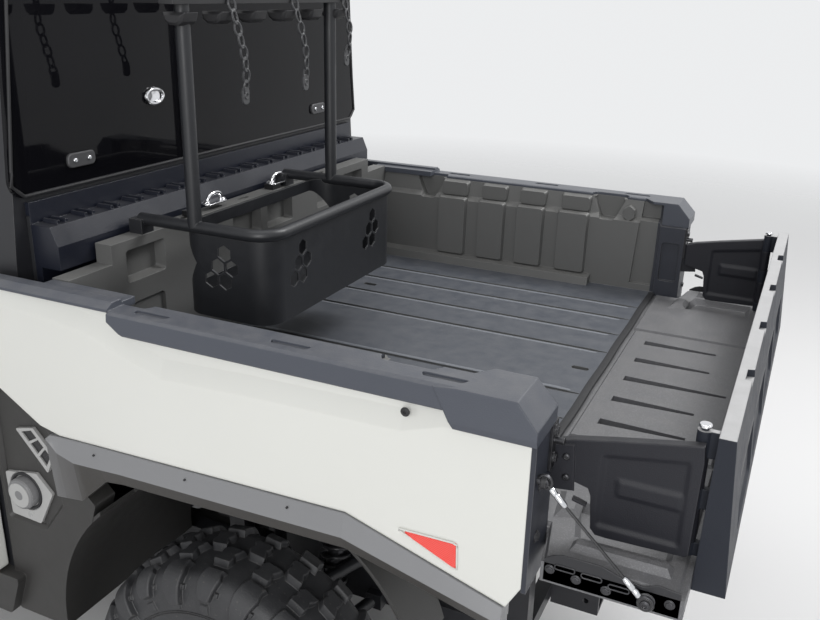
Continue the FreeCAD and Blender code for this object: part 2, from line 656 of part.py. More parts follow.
def make_steering():
    column = join([rod(along(12), along(215), 24), rod(along(-30), along(215), 11)])
    keep("steering_column", column.cut(PARTS["dashboard"]))
    centre = V(*along(-12))
    side = V(0, 1, 0)
    up = COLUMN.cross(side)
    section = []
    for k in range(8):
        a = math.radians(45 * k + 22.5)
        section.append(centre + side * (WHEEL_R + 14 * math.cos(a)) + COLUMN * (14 * math.sin(a)))
    bits = [Part.Face(outline(section)).revolve(centre, COLUMN, 360), rod(along(-38), along(11), 42)]
    for angle in (270, 10, 170):
        a = math.radians(angle)
        tip = centre + (side * math.cos(a) + up * math.sin(a)) * (WHEEL_R - 4)
        bits.append(rod(tuple(centre), tuple(tip), 9))
    keep("steering_wheel", join(bits).cut(rod(along(-30.5), along(30), 11 + RUN_GAP)))


DOOR_LOW = CAB_FLOOR + 80.0


def door_side():
    b, f = DOOR_BACK, DOOR_FRONT
    low = slab([(b, DOOR_LOW), (b, BELT_Z), (f, BELT_Z), (f, DOOR_LOW + 100), (f - 90, DOOR_LOW)],
               DOOR_IN, BODY_Y, 12)
    low = low.cut(slab([(b + 90, DOOR_LOW + 120), (b + 90, BELT_Z - 170), (f - 90, BELT_Z - 170),
                        (f - 90, DOOR_LOW + 170), (f - 150, DOOR_LOW + 120)], DOOR_IN - 1, DOOR_IN + 15, 25))
    y = BODY_Y
    swage = [V(b + 25, y, DOOR_LOW + 180), V(b + 25, y, DOOR_LOW + 370), V(b + 300, y, DOOR_LOW + 330),
             V(f - 70, y, DOOR_LOW + 370), V(f - 70, y, DOOR_LOW + 300), V(b + 330, y, DOOR_LOW + 240)]
    swage = pad(swage, V(0, 8, 0), 10, 14)
    outer = [(b, BELT_Z - 10), (b, ROOF_Z - 25), (ROOF_NOSE - 35, ROOF_Z - 25), (f + 4, BELT_Z + 110),
             (f, BELT_Z - 10)]
    inner = [(b + 45, BELT_Z + 30), (b + 45, ROOF_Z - 70), (ROOF_NOSE - 69, ROOF_Z - 70),
             (f - 45, BELT_Z + 110),
             (f - 50, BELT_Z + 30)]
    upper = slab(outer, DOOR_IN, DOOR_IN + 25).cut(slab(inner, DOOR_IN - 5, DOOR_IN + 35, 24))
    bits = [low, swage, lean_in(upper, DOOR_IN, BELT_Z)]
    x, y = DOOR_HINGE
    for z in DOOR_HINGE_Z:
        bits.append(box(x - 90, x - 6, BODY_Y - 2, BODY_Y + 8, z - 9.5, z + 9.5))
        bits.append(rod((x, y, z - 9.5), (x, y, z + 9.5), 2 * PIN_R + 1))
    bits.append(slab([(b + 50, BELT_Z - 132), (b + 190, BELT_Z - 126), (b + 190, BELT_Z - 92),
                      (b + 50, BELT_Z - 86)], BODY_Y, BODY_Y + 13, 10))
    door = join(bits)
    for z in DOOR_HINGE_Z:
        door = door.cut(rod((x, y, z - 12), (x, y, z + 12), PIN_R + RUN_GAP))
    window = lean_in(slab(inner, DOOR_IN + 9, DOOR_IN + 15, 24), DOOR_IN, BELT_Z)
    return door, window


def make_doors():
    door, window = door_side()
    keep("door_left", door)
    keep("door_right", flip(door))
    keep("door_glass_left", window)
    keep("door_glass_right", flip(window))


# Front end

FENDER_BACK, FENDER_FRONT = DOOR_FRONT + 24.0, FRONT_END - 30.0
FASCIA_BACK = FRONT_X + 210.0
FENDER_LOW = ARCH_Z + 160.0
FENDER_T = 14.0
NOSE_Z = BELT_Z - 130.0
LAMP = (TYRE_IN - 245.0, TYRE_IN, BELT_Z - 282.0, BELT_Z - 216.0)


def fender_outline(inset):
    t = inset
    return [(FENDER_BACK + t, FENDER_LOW), (FENDER_BACK + t, BELT_Z + 8 - t),
            (CAB_FRONT + 26, BELT_Z + 22 - t),
            (FRONT_X - 50, BELT_Z - 30 - t), (FASCIA_BACK + 50 - t / 2, NOSE_Z - t),
            (FENDER_FRONT - 50 - t, NOSE_Z - 90 - t / 2), (FENDER_FRONT - t, NOSE_Z - 240),
            (FENDER_FRONT - t, FENDER_LOW)]


def axle_rod(y0, y1, r):
    return rod((FRONT_X, y0, ARCH_Z), (FRONT_X, y1, ARCH_Z), r)


def make_front_fenders():
    skin = slab(fender_outline(0), FENDER_IN, BODY_Y, 26)
    skin = skin.cut(slab(fender_outline(FENDER_T), FENDER_IN - 1, BODY_Y - FENDER_T, 14))
    skin = skin.cut(box(FENDER_BACK - 60, CAB_FRONT + 2, FENDER_IN - 70, CAGE_OUT + 2, 0, BELT_Z + 150))
    arch = axle_rod(FENDER_IN - 170, BODY_Y + 100, ARCH_R)
    below = box(FENDER_BACK - 60, FRONT_END + 500, FENDER_IN - 300, BODY_Y + 100, ARCH_Z - 1500, ARCH_Z + 200)
    skin = skin.cut(arch)
    liner = axle_rod(FENDER_IN - 170, BODY_Y - 10, ARCH_R + 8).cut(arch).cut(below)
    lip = axle_rod(BODY_Y - FENDER_T, BODY_Y + 14, ARCH_R + 34).cut(arch).cut(below)
    lip = lip.common(box(FENDER_BACK + 12, FENDER_FRONT, CAB_IN, BODY_Y + 100, 0, 2 * ROOF_Z))
    low = box(FENDER_BACK, FENDER_BACK + 98, BODY_Y - FENDER_T, BODY_Y, DOOR_LOW, FENDER_LOW + 60)
    keep("front_fenders", both(join([skin, liner, lip, low]).cut(PARTS["cab_cage"])))


def fascia_outline(inset):
    t = inset
    return [(FASCIA_BACK, NOSE_Z - 12 - t), (FASCIA_BACK + 48, NOSE_Z - 12 - t),
            (FASCIA_BACK + 80, NOSE_Z - t),
            (FENDER_FRONT - 32 - t, NOSE_Z - 80 - t / 2), (FENDER_FRONT - t, NOSE_Z - 160),
            (FENDER_FRONT - t, NOSE_Z - 320), (FENDER_FRONT - 54 - t, NOSE_Z - 420 + t),
            (FASCIA_BACK, NOSE_Z - 420 + t)]


def make_front_fascia():
    half = FENDER_IN
    hollow = slab(fascia_outline(FENDER_T), 14 - half, half - 14)
    hollow = hollow.fuse(box(FASCIA_BACK - 1, FASCIA_BACK + 1, 14 - half, half - 14, NOSE_Z - 406,
                             NOSE_Z - 26))
    body = slab(fascia_outline(0), -half, half).cut(hollow)
    grille = (NOSE_Z - 330, NOSE_Z - 170)
    body = body.cut(box(FENDER_FRONT - 50, FRONT_END, -270, 270, *grille))
    for k in range(3):
        z = grille[0] + 32 + 40 * k
        body = body.fuse(slab([(FENDER_FRONT - 32, z), (FENDER_FRONT - 8, z + 5), (FENDER_FRONT - 8, z + 14),
                               (FENDER_FRONT - 32, z + 12)], -275, 275))
    low, high = LAMP[2:]
    for s in (1, -1):
        a, b = sorted((s * LAMP[0], s * LAMP[1]))
        body = body.cut(box(FASCIA_BACK + 100, FRONT_END, a, b, low, high))
    body = body.cut(box(FASCIA_BACK - 10, FASCIA_BACK + 50, -400, 400, NOSE_Z - 430, NOSE_Z - 400))
    body = body.fuse(box(FASCIA_BACK + 10, FASCIA_BACK + 100, -300, 300, NOSE_Z - 420, NOSE_Z - 406))
    for s in (1, -1):
        body = body.cut(rod((FRONT_X, s * 380, ARCH_Z), (FRONT_X, s * (BODY_Y + 100), ARCH_Z), ARCH_R + 8))
    keep("front_fascia", body.removeSplitter())


def make_headlamps():
    a, b, low, high = LAMP
    back, front = FASCIA_BACK + 110, FENDER_FRONT - 12
    keep("headlamps", both(slab([(back, low), (back, high), (front - 26, high), (front, low)], a, b)))


def make_front_bumper():
    x = FENDER_FRONT + 14
    low, high = RAIL_TOP, RAIL_TOP + 210
    side = [slab([(RAIL_FRONT, RAIL_LOW), (RAIL_FRONT + 70, RAIL_LOW), (x - 14, low + 30), (x - 14, high),
                  (x - 44, high), (RAIL_FRONT, RAIL_TOP + 60)], RAIL_IN, RAIL_OUT)]
    side.append(rod((x, (RAIL_IN + RAIL_OUT) / 2, high), (x, (RAIL_IN + RAIL_OUT) / 2, low), 16))
    bits = pair(join(side))
    bits.append(box(x - 24, x - 8, -330, 330, low + 20, high - 30))
    for z in (low, high):
        bits.append(rod((x, -330, z), (x, 330, z), 16))
    shape = join(bits)
    middle = low + 100
    for y in (-75, 75):
        for z in (middle - 20, middle + 20):
            shape = shape.cut(rod((x - 34, y, z), (x - 4, y, z), 5.5))
    keep("front_bumper", shape)


def hood_section(x, z, half, drop):
    # crowned strip of the hood: an arc over a flat arc, as one closed wire
    t = 12.0
    top = Part.Arc(V(x, -half, z - drop), V(x, 0, z), V(x, half, z - drop)).toShape()
    under = Part.Arc(V(x, half, z - drop - t), V(x, 0, z - t), V(x, -half, z - drop - t)).toShape()
    return Part.Wire([top, Part.makeLine(V(x, half, z - drop), V(x, half, z - drop - t)), under,
                      Part.makeLine(V(x, -half, z - drop - t), V(x, -half, z - drop))])


def make_hood():
    half = FENDER_IN - 6
    back, front = CAB_FRONT + 24, FASCIA_BACK + 42
    bx, bz = HOOD_HINGE
    # columns: station, level of the crown
    crown = ((back, BELT_Z + 58), (FRONT_X - 50, BELT_Z + 18), (front, NOSE_Z + 38))
    shell = Part.makeLoft([hood_section(x, z, half, 16) for x, z in crown], True, True)
    bulge = Part.makeLoft([hood_section(x, z + 13, 330, 12) for x, z in
                           ((back + 30, BELT_Z + 55), (FRONT_X - 50, BELT_Z + 18),
                            (front - 40, NOSE_Z + 51))],
                          True, True)
    bits = [shell, bulge]
    for s in (1, -1):
        a, b = sorted((s * 300.0, s * 318.0))
        bits.append(slab([(bx, bz - 10), (bx, bz + 9), (back + 34, BELT_Z + 50), (back + 34, BELT_Z + 40)],
                         a, b))
        bits.append(rod((bx, a, bz), (bx, b, bz), 2 * PIN_R))
    hood = join(bits)
    for s in (1, -1):
        a, b = sorted((s * 290.0, s * 330.0))
        hood = hood.cut(rod((bx, a, bz), (bx, b, bz), PIN_R + RUN_GAP))
    keep("hood", hood)


# Lower body

REAR_ARCH_R = TYRE_R + 88.0
REAR_ARCH_Z = AXLE_Z + 75.0
POD_OUT = PANEL_IN - 8.0
POD_IN = CAGE_IN - 5.0
LINER_T = 8.0
CROWN_OUT = TYRE_IN + 105.0
FILLER_Y = CAGE_OUT + 0.5


def rear_axle_rod(y0, y1, r):
    return rod((REAR_X, y0, REAR_ARCH_Z), (REAR_X, y1, REAR_ARCH_Z), r)


def make_lower_body():
    wheel_space = rear_axle_rod(0, BODY_Y, REAR_ARCH_R)
    ring = rear_axle_rod(RAIL_OUT + 30, POD_OUT - 2, REAR_ARCH_R + LINER_T).cut(wheel_space)
    crown = ring.common(box(0, REAR_X + 301, TYRE_IN - 45, CROWN_OUT, REAR_ARCH_Z + 130, FLOOR_Z))
    apron = ring.common(box(REAR_X + 300, CAB_BACK + 100, RAIL_OUT + 30, POD_OUT - 2, CAB_FLOOR - 37,
                            FLOOR_Z))
    liner = crown.fuse(apron)
    front, low = CAB_BACK + 122, CAB_FLOOR - 37
    pod = slab([(CAB_BACK - 100, FLOOR_Z - 150), (CAB_BACK - 170, FLOOR_Z - 219),
                (CAB_BACK - 100, CAB_FLOOR + 120),
                (CAB_BACK - 40, low), (front, low), (front, FLOOR_Z + 40), (CAB_BACK + 30, FLOOR_Z + 30),
                (CAB_BACK - 44, FLOOR_Z + 2), (CAB_BACK - 88, FLOOR_Z - 70)], POD_IN, POD_OUT, 8)
    # facets on the pod's face, sunk around the filler plate
    hollow = pad([V(CAB_BACK - 70, POD_OUT, FLOOR_Z - 250), V(CAB_BACK - 70, POD_OUT, FLOOR_Z - 90),
                  V(CAB_BACK - 10, POD_OUT, FLOOR_Z + 6), V(front - 10, POD_OUT, FLOOR_Z + 16),
                  V(front - 10, POD_OUT, FLOOR_Z - 330), V(CAB_BACK - 10, POD_OUT, FLOOR_Z - 330)],
                 V(0, FILLER_Y - POD_OUT, 0), 8, 10)
    rocker = slab([(front, low), (front - 36, low + 97), (front - 36, low + 112),
                   (DOOR_FRONT + 130, low + 112),
                   (DOOR_FRONT + 130, low + 17), (DOOR_FRONT + 60, low)], POD_IN, BODY_Y - 10, 12)
    brace = box(CAB_BACK - 195, CAB_BACK - 155, RAIL_OUT, TYRE_IN - 39, FLOOR_Z - 262, FLOOR_Z - 236)
    side = join([liner, pod.cut(hollow), rocker, brace.cut(wheel_space)])
    side = side.cut(wheel_space.common(box(0, CAB_BACK, 0, BODY_Y, 0, FLOOR_Z)))
    keep("lower_body", both(side.cut(PARTS["cab_cage"]).cut(PARTS["cab_tub"])))


FILLER = (CAB_BACK + 43.0, FLOOR_Z - 240.0)
FILLER_T = 8.0


def make_fuel_filler():
    x, z = FILLER
    face, front = FILLER_Y + FILLER_T, FILLER_Y + FILLER_T + 1
    vent = [(x + 6, z + 163), (x - 49, z + 177), (x - 104, z + 120), (x - 79, z + 69)]
    body = slab(vent, FILLER_Y, face, 3)
    for start in (0.08, 0.38, 0.68):
        corners = []
        for t, across in ((start, 0.2), (start, 0.8), (start + 0.24, 0.8), (start + 0.24, 0.2)):
            ax, az = [p + t * (q - p) for p, q in zip(vent[0], vent[3])]
            bx, bz = [p + t * (q - p) for p, q in zip(vent[1], vent[2])]
            corners.append((ax + across * (bx - ax), az + across * (bz - az)))
        body = body.cut(slab(corners, FILLER_Y + 3, front))
    ring = slab([(x + 60, z + 38), (x - 40, z + 57), (x - 84, z + 13), (x - 35, z - 78), (x + 55, z - 74)],
                FILLER_Y, face, 6)
    body = body.fuse(ring).cut(rod((x, FILLER_Y + 4, z), (x, front, z), 50))
    cap = [rod((x, FILLER_Y + 1, z), (x, FILLER_Y + 24, z), 38),
           rod((x, FILLER_Y + 24, z), (x, FILLER_Y + 30, z), 31)]
    keep("fuel_filler", join([body] + cap))


# Bed

# columns: rear edge, front edge of each raised wall field
WALL_FIELDS = ((224.0, 327.0), (370.0, 466.0), (503.0, 600.0), (640.0, 743.0))
STAKE_POCKETS = (172.0, BED_LEN - 178.0)
FIELD_TOP = FLOOR_Z + 227.0
FLOOR_LINES = (140.0, 280.0, 415.0, 530.0)
FLOOR_EDGE = BED_HALF - 32.0
FLOOR_EYES = ((51.0, -9.0), (BED_LEN - 149.0, -339.0))
HEAD_T = 45.0
POST_TOP = SIDE_TOP - 61.0
CAP_IN = WALL_TOP_IN + 2.0
CAP_OUT = BODY_Y + 18.0
CAP_BACK, CAP_FRONT = POST_BACK + 9.0, BED_LEN - 175.0
HOOD_END = 62.0
CAP_SLOTS = (96.0, 394.0, BED_LEN - 260.0)


def bed_floor():
    floor = box(0, BED_LEN, -FLOOR_EDGE, FLOOR_EDGE, TUB_BASE, FLOOR_Z)
    for line in FLOOR_LINES:
        for y in (line, -line):
            groove = [(14, y - 2), (14, y + 2), (60, y + 7), (BED_LEN - 65, y + 7), (BED_LEN - 30, y),
                      (BED_LEN - 65, y - 7), (60, y - 7)]
            floor = floor.cut(plate(groove, FLOOR_Z - 5, FLOOR_Z + 1))
    for x, y in FLOOR_EYES:
        eye = [(x - 22, y - 9), (x + 22, y - 9), (x + 22, y + 9), (x - 22, y + 9)]
        floor = floor.cut(plate(eye, FLOOR_Z - 12, FLOOR_Z + 1, 8))
    return floor


def bed_wall():
    foot, knee, brow, head = BED_HALF + 10, BED_HALF + 14, BED_HALF + 36, WALL_TOP_IN
    lean = PANEL_IN - 6
    wall = rib([(foot, FLOOR_Z), (knee, FIELD_TOP - 12), (brow, FIELD_TOP), (head, SIDE_TOP),
                (lean, SIDE_TOP),
                (lean, FIELD_TOP - 60), (TUB_OUT, FIELD_TOP - 110), (TUB_OUT, FLOOR_Z)], 0, BED_LEN)
    sill = rib([(foot - 40, FLOOR_Z), (foot - 34, FLOOR_Z + 24), (foot + 2, FLOOR_Z + 30),
                (foot + 2, FLOOR_Z)],
               WALL_FIELDS[0][0] - 20, BED_LEN)
    bits = [wall, sill, box(0, BED_LEN, FLOOR_EDGE, TUB_OUT, TUB_BASE, FLOOR_Z)]
    for x0, x1 in WALL_FIELDS:
        low, high = FLOOR_Z + 28, FIELD_TOP
        bits.append(pad([V(x0, knee, low), V(x1, knee, low), V(x1, knee, high), V(x0, knee, high)],
                        V(0, -18, 0), 5, 8))
        low, high = FIELD_TOP - 4, SIDE_TOP - 0.5
        bits.append(pad([V(x0 + 2, head, low), V(x1 - 2, head, low), V(x1 - 2, head, high),
                         V(x0 + 2, head, high)],
                        V(0, -22, 0), 5, 8))
    wall = join(bits)
    for x in STAKE_POCKETS:
        pocket = [(x - 52, SIDE_TOP + 1), (x + 52, SIDE_TOP + 1), (x + 22, FIELD_TOP - 16),
                  (x - 22, FIELD_TOP - 16)]
        wall = wall.cut(slab(pocket, BED_HALF - 10, lean - 4, 8))
    fold = [(4, SIDE_TOP + 1), (64, SIDE_TOP + 1), (78, FLOOR_Z + 20), (12, FLOOR_Z + 20)]
    wall = wall.cut(slab(fold, BED_HALF, knee + 10)).cut(slab(fold, BED_HALF, head + 10).common(
        box(0, 100, 0, BODY_Y, FIELD_TOP, SIDE_TOP + 2)))
    boss = []
    for k in range(6):
        a = math.radians(60 * k + 30)
        boss.append((103 + 20 * math.cos(a), FIELD_TOP + 12 + 24 * math.sin(a)))
    return wall.fuse(slab(boss, knee + 2, head + 4, 4)).removeSplitter()


def bed_post():
    post = box(POST_BACK, 0, BED_HALF, TUB_OUT, GATE_Z - 15, POST_TOP)
    post = post.cut(slab([(POST_BACK + 12, GATE_Z + 90), (-10, GATE_Z + 90), (-10, SIDE_TOP - 110),
                          (POST_BACK + 12, SIDE_TOP - 110)], BED_HALF - 1, BED_HALF + 12, 8))
    web = box(POST_BACK, POST_BACK + 9, BED_HALF, BODY_Y, GATE_Z - 30, POST_TOP)
    return post.fuse(web).removeSplitter()


def headboard():
    wall = box(BED_LEN, BED_LEN + HEAD_T, -TUB_OUT, TUB_OUT, TUB_BASE, HEAD_TOP)
    # columns: right edge, left edge of each pocket in the face
    for y0, y1 in ((-560, -430), (-400, -270), (-130, 0), (30, 160), (430, 560)):
        pocket = [V(BED_LEN, y0, HEAD_TOP - 100), V(BED_LEN, y1, HEAD_TOP - 100),
                  V(BED_LEN, y1, HEAD_TOP - 24),
                  V(BED_LEN, y0, HEAD_TOP - 24)]
        wall = wall.cut(pad(pocket, V(26, 0, 0), 6, 8))
        wall = wall.cut(rib([(y0 + 10, FLOOR_Z + 190), (y1 - 10, FLOOR_Z + 190), (y1 - 10, FLOOR_Z + 40),
                             (y0 + 10, FLOOR_Z + 40)], BED_LEN - 1, BED_LEN + 8, 12))
    for s in (1, -1):
        a, b = sorted((s * (BED_HALF - 88), s * (TUB_OUT + 1)))
        wall = wall.cut(box(BED_LEN - 1, BED_LEN + HEAD_T + 1, a, b, HEAD_TOP - 44, HEAD_TOP + 1))
        for y in (s * 320, s * 200, s * 80):
            slot = [(BED_LEN + 14, y - 22), (BED_LEN + 30, y - 22), (BED_LEN + 30, y + 22),
                    (BED_LEN + 14, y + 22)]
            wall = wall.cut(plate(slot, HEAD_TOP - 6, HEAD_TOP + 1, 7))
    return wall


def make_bed_tub():
    wall, post = bed_wall(), bed_post()
    keep("bed_tub", Part.makeCompound([bed_floor(), headboard(), wall, flip(wall), post, flip(post)]))


def cap_end():
    # wide hood over the post, closed at the back by a sloping facet
    back, low = POST_BACK - 5, POST_TOP
    top_out, low_out = CAP_OUT - 2, CAP_OUT + 7
    hood = slab([(back, low), (back, SIDE_TOP - 34), (back + 38, CAP_TOP), (HOOD_END, CAP_TOP),
                 (HOOD_END + 40, CAP_TOP - 4), (HOOD_END, low)], BED_HALF + 18, low_out)
    hood = hood.cut(rib([(top_out, CAP_TOP + 1), (low_out, low + 12), (low_out - 3, low - 1),
                         (low_out + 1, low - 1), (low_out + 1, CAP_TOP + 1)], back - 1, HOOD_END + 41))
    hood = hood.cut(plate([(HOOD_END - 30, BED_HALF + 17), (HOOD_END - 4, CAP_IN + 4),
                           (HOOD_END + 41, CAP_IN + 4), (HOOD_END + 41, BED_HALF + 17)], low - 1,
                          CAP_TOP + 1))
    hood = hood.cut(box(0, HOOD_END + 41, BED_HALF, BODY_Y + 1, low - 1, SIDE_TOP))
    return hood.cut(box(CAP_BACK - 1, 1, PANEL_IN - 1, BODY_Y + 1, low - 1, CAP_TOP - 34))


def make_rail_caps():
    face = BODY_Y + 1
    profile = [(CAP_IN, SIDE_TOP), (CAP_IN, CAP_TOP - 2), (CAP_IN + 4, CAP_TOP), (CAP_OUT - 9, CAP_TOP),
               (CAP_OUT - 3, CAP_TOP - 5), (CAP_OUT, CAP_LOW + 4), (CAP_OUT - 2, CAP_LOW), (face, CAP_LOW),
               (face, CAP_TOP - 34), (face - 20, SIDE_TOP)]
    cap = rib(profile, HOOD_END - 1, CAP_FRONT).fuse(cap_end())
    cap = cap.cut(slab([(CAP_FRONT + 1, CAP_LOW - 1), (CAP_FRONT + 1, CAP_LOW + 24),
                        (CAP_FRONT - 38, CAP_LOW - 1)],
                       BODY_Y, CAP_OUT + 5))
    for x in STAKE_POCKETS:
        notch = [(x - 64, CAP_IN - 1), (x - 48, CAP_IN + 24), (x + 48, CAP_IN + 24), (x + 64, CAP_IN - 1)]
        cap = cap.cut(plate(notch, SIDE_TOP - 1, CAP_TOP + 1, 8))
    for x in CAP_SLOTS:
        slot = [(x - 44, CAP_IN + 36), (x + 44, CAP_IN + 36), (x + 34, CAP_IN + 52), (x - 34, CAP_IN + 52)]
        cap = cap.cut(plate(slot, CAP_TOP - 5, CAP_TOP + 1, 4))
    panel_top = SIDE_TOP + 6
    strip = rib([(PANEL_IN - 2, panel_top), (PANEL_IN - 2, panel_top + 16), (BODY_Y - 6, panel_top + 16),
                 (BODY_Y + 12, panel_top + 6), (BODY_Y + 12, panel_top)], CAP_FRONT, CAB_BACK + 90)
    ledge = box(CAP_FRONT, BED_LEN + HEAD_T - 2, TUB_OUT, PANEL_IN - 1, SIDE_TOP, panel_top + 10)
    keep("rail_caps", both(join([cap, strip, ledge])))


# columns: station, level of the crease above the bed floor, depth of the facet above it
CREASE = ((-20.0, 214.0, 0.0), (93.0, 200.0, 15.0), (166.0, 175.0, 15.0), (472.0, 169.0, 15.0),
          (682.0, 160.0, 15.0),
          (877.0, 223.0, 15.0), (1094.0, 244.0, 9.0), (1191.0, 254.0, 5.0))


def make_side_panels():
    top, front = CAP_TOP - 2, CAB_BACK + 90
    points = [(CAP_BACK, CAP_TOP - 35), (CAP_BACK, FLOOR_Z - 67), (-41, FLOOR_Z - 113), (273, FLOOR_Z - 16),
              (BED_LEN + 5, FLOOR_Z - 34), (BED_LEN + 60, FLOOR_Z - 22), (BED_LEN + 168, FLOOR_Z + 43),
              (front, FLOOR_Z + 77), (front, top), (CAP_FRONT + 2, top), (CAP_FRONT + 2, CAP_TOP - 35)]
    panel = slab(points, PANEL_IN, BODY_Y)
    sections = []
    for x, z, deep in CREASE:
        z += FLOOR_Z
        face = BODY_Y + 1
        inner = BODY_Y - deep
        knee = min(z + 38, top)
        sections.append(outline([V(x, face, z - 1), V(x, inner, knee), V(x, inner, top + 6),
                                 V(x, face, top + 6)]))
    for a, b in zip(sections[:-1], sections[1:]):
        panel = panel.cut(Part.makeLoft([a, b], True, True))
    keep("side_panels", both(panel.removeSplitter()))


# columns: station, then top edge, crease and low edge as levels above the bed floor
FLARE = ((-38.0, -114.0, -141.0, -168.0), (144.0, -57.5, -95.0, -121.0), (273.0, -17.5, -62.0, -92.0),
         (BED_LEN - 165.0, -31.0, -74.0, -106.0), (BED_LEN - 117.0, -32.0, -77.0, -112.0),
         (BED_LEN - 42.0, -34.0, -81.0, -180.0), (BED_LEN + 4.0, -36.0, -68.0, -186.0),
         (BED_LEN + 32.0, -37.0, -40.0, -189.0))


def make_rear_flares():
    rings = []
    for x, top, crease, low in FLARE:
        section = ((PANEL_IN, top), (BODY_Y + 4, top), (BODY_Y + 16, crease), (BODY_Y + 3, low),
                   (PANEL_IN, low))
        rings.append([V(x, y, FLOOR_Z + z) for y, z in section])
    bands = [Part.makeLoft([outline(a), outline(b)], True, True) for a, b in zip(rings[:-1], rings[1:])]
    keep("rear_flares", both(join(bands)))


def make_reflectors():
    z = FLOOR_Z
    corners = [V(170, BODY_Y, z - 16), V(52, BODY_Y, z - 13), V(50, BODY_Y, z - 68)]
    keep("reflectors", both(pad(corners, V(0, 4, 0), 3, 5)))


def make_bed_underframe():
    hx, hz = BED_HINGE
    beam = (300.0, 345.0)
    seat = hz + 5
    side = [box(20, BED_LEN, beam[0], beam[1], seat, TUB_BASE)]
    for x in (70, BED_LEN - 115):
        side.append(box(x, x + 40, beam[1], PANEL_IN, TUB_BASE - 30, TUB_BASE))
    y = (RAIL_IN + RAIL_OUT) / 2 - 5
    ear = slab([(20, TUB_BASE), (100, TUB_BASE), (hx + 20, hz - 8), (hx, hz - 20), (hx - 20, hz - 8)],
               y - 7, y + 7, 14)
    side.append(ear.cut(rod((hx, y - 15, hz), (hx, y + 15, hz), BED_PIN_R + RUN_GAP)))
    for y in (beam[0] + 215,):
        side += gate_hinge(y)
    bits = []
    for s in side:
        bits += pair(s)
    for x in (120, 450):
        bits.append(box(x, x + 40, -beam[0], beam[0], TUB_BASE - 25, TUB_BASE))
    bits.append(box(*BED_REST, -beam[0], beam[0], seat, TUB_BASE))
    bits += gate_hinge(0)
    keep("bed_underframe", Part.makeCompound(bits))


def gate_hinge(y):
    # strap under the tailgate's front edge, bent up to the bed's floor
    profile = [(-40, GATE_Z - 10), (26, GATE_Z - 10), (66, TUB_BASE - 8), (66, TUB_BASE), (2, TUB_BASE),
               (2, GATE_Z), (-40, GATE_Z)]
    return [slab(profile, y - 30, y + 30)]


# Tool rack

RACK_Y0, RACK_Y1 = -125.0, 480.0
RACK_BACK = BED_LEN - 330.0
RACK_POST = BED_LEN - 133.0
LOOP_Z = HEAD_TOP + 32.0
BAR_Z = FLOOR_Z + 842.0
BASKET_DEPTH = 207.0
BASKET_FRONT = BED_LEN - 88.0
TUBE_R = 14.0
LOOP_BEND = 55.0


def make_rack_tubes():
    y0, y1, x0, z = RACK_Y0, RACK_Y1, RACK_BACK, LOOP_Z
    end, bend = BED_LEN + 20, LOOP_BEND
    k = bend * (1 - math.sqrt(0.5))
    edges = [Part.makeLine(V(end, y1, z), V(x0 + bend, y1, z)),
             Part.Arc(V(x0 + bend, y1, z), V(x0 + k, y1 - k, z), V(x0, y1 - bend, z)).toShape(),
             Part.makeLine(V(x0, y1 - bend, z), V(x0, y0 + bend, z)),
             Part.Arc(V(x0, y0 + bend, z), V(x0 + k, y0 + k, z), V(x0 + bend, y0, z)).toShape(),
             Part.makeLine(V(x0 + bend, y0, z), V(end, y0, z))]
    profile = Part.Wire([Part.makeCircle(TUBE_R, V(end, y1, z), V(1, 0, 0))])
    bits = [Part.Wire(edges).makePipeShell([profile], True, False)]
    for y in (y0, y1):
        bits.append(box(BED_LEN + 3, BED_LEN + 39, y - 20, y + 20, HEAD_TOP, z + 2))
        bits.append(rod((RACK_POST, y, z), (RACK_POST, y, BAR_Z), TUBE_R + 2))
    keep("rack_tubes", join(bits))


def hexagon(a, b, r):
    return [(a + r * math.cos(math.radians(60 * i + 30)), b + r * math.sin(math.radians(60 * i + 30)))
            for i in range(6)]


def basket_plan(inset):
    x0, x1 = RACK_BACK - 2 + inset, BASKET_FRONT - inset
    y0, y1 = RACK_Y0 - 2 + inset, RACK_Y1 + 2 - inset
    return [(x0, y0), (x1, y0), (x1, y1), (x0, y1)]


def make_rack_basket():
    sheet = 4.0
    low = LOOP_Z - BASKET_DEPTH
    body = plate(basket_plan(0), low, LOOP_Z, LOOP_BEND)
    body = body.cut(plate(basket_plan(sheet), low + sheet, LOOP_Z + 1, LOOP_BEND - sheet))
    cell, r = 38.0, 19.0
    notch = [(BASKET_FRONT + 1, LOOP_Z - 22), (BASKET_FRONT - 44, LOOP_Z - 84),
             (BASKET_FRONT - 6, LOOP_Z - 150),
             (BASKET_FRONT + 1, LOOP_Z - 150)]
    body = body.cut(slab(notch, RACK_Y0 - 5, RACK_Y1 + 5))
    # columns: steps along the row, steps up
    cells = ((0, 0), (1, 0), (0.5, -0.87), (0.5, 0.87), (1.5, -0.87))
    for a, b in cells:
        z = LOOP_Z - 84 + cell * b
        for y in (RACK_Y1 - 5, RACK_Y0 - 5):
            body = body.cut(slab(hexagon(RACK_POST - 96 + cell * a, z, r), y, y + 10))
        for y in (RACK_Y0 + 110, RACK_Y1 - 150):
            body = body.cut(rib(hexagon(y + cell * a, z, r), RACK_BACK - 5, RACK_BACK + 5))
    keep("rack_basket", body.cut(PARTS["rack_tubes"]))


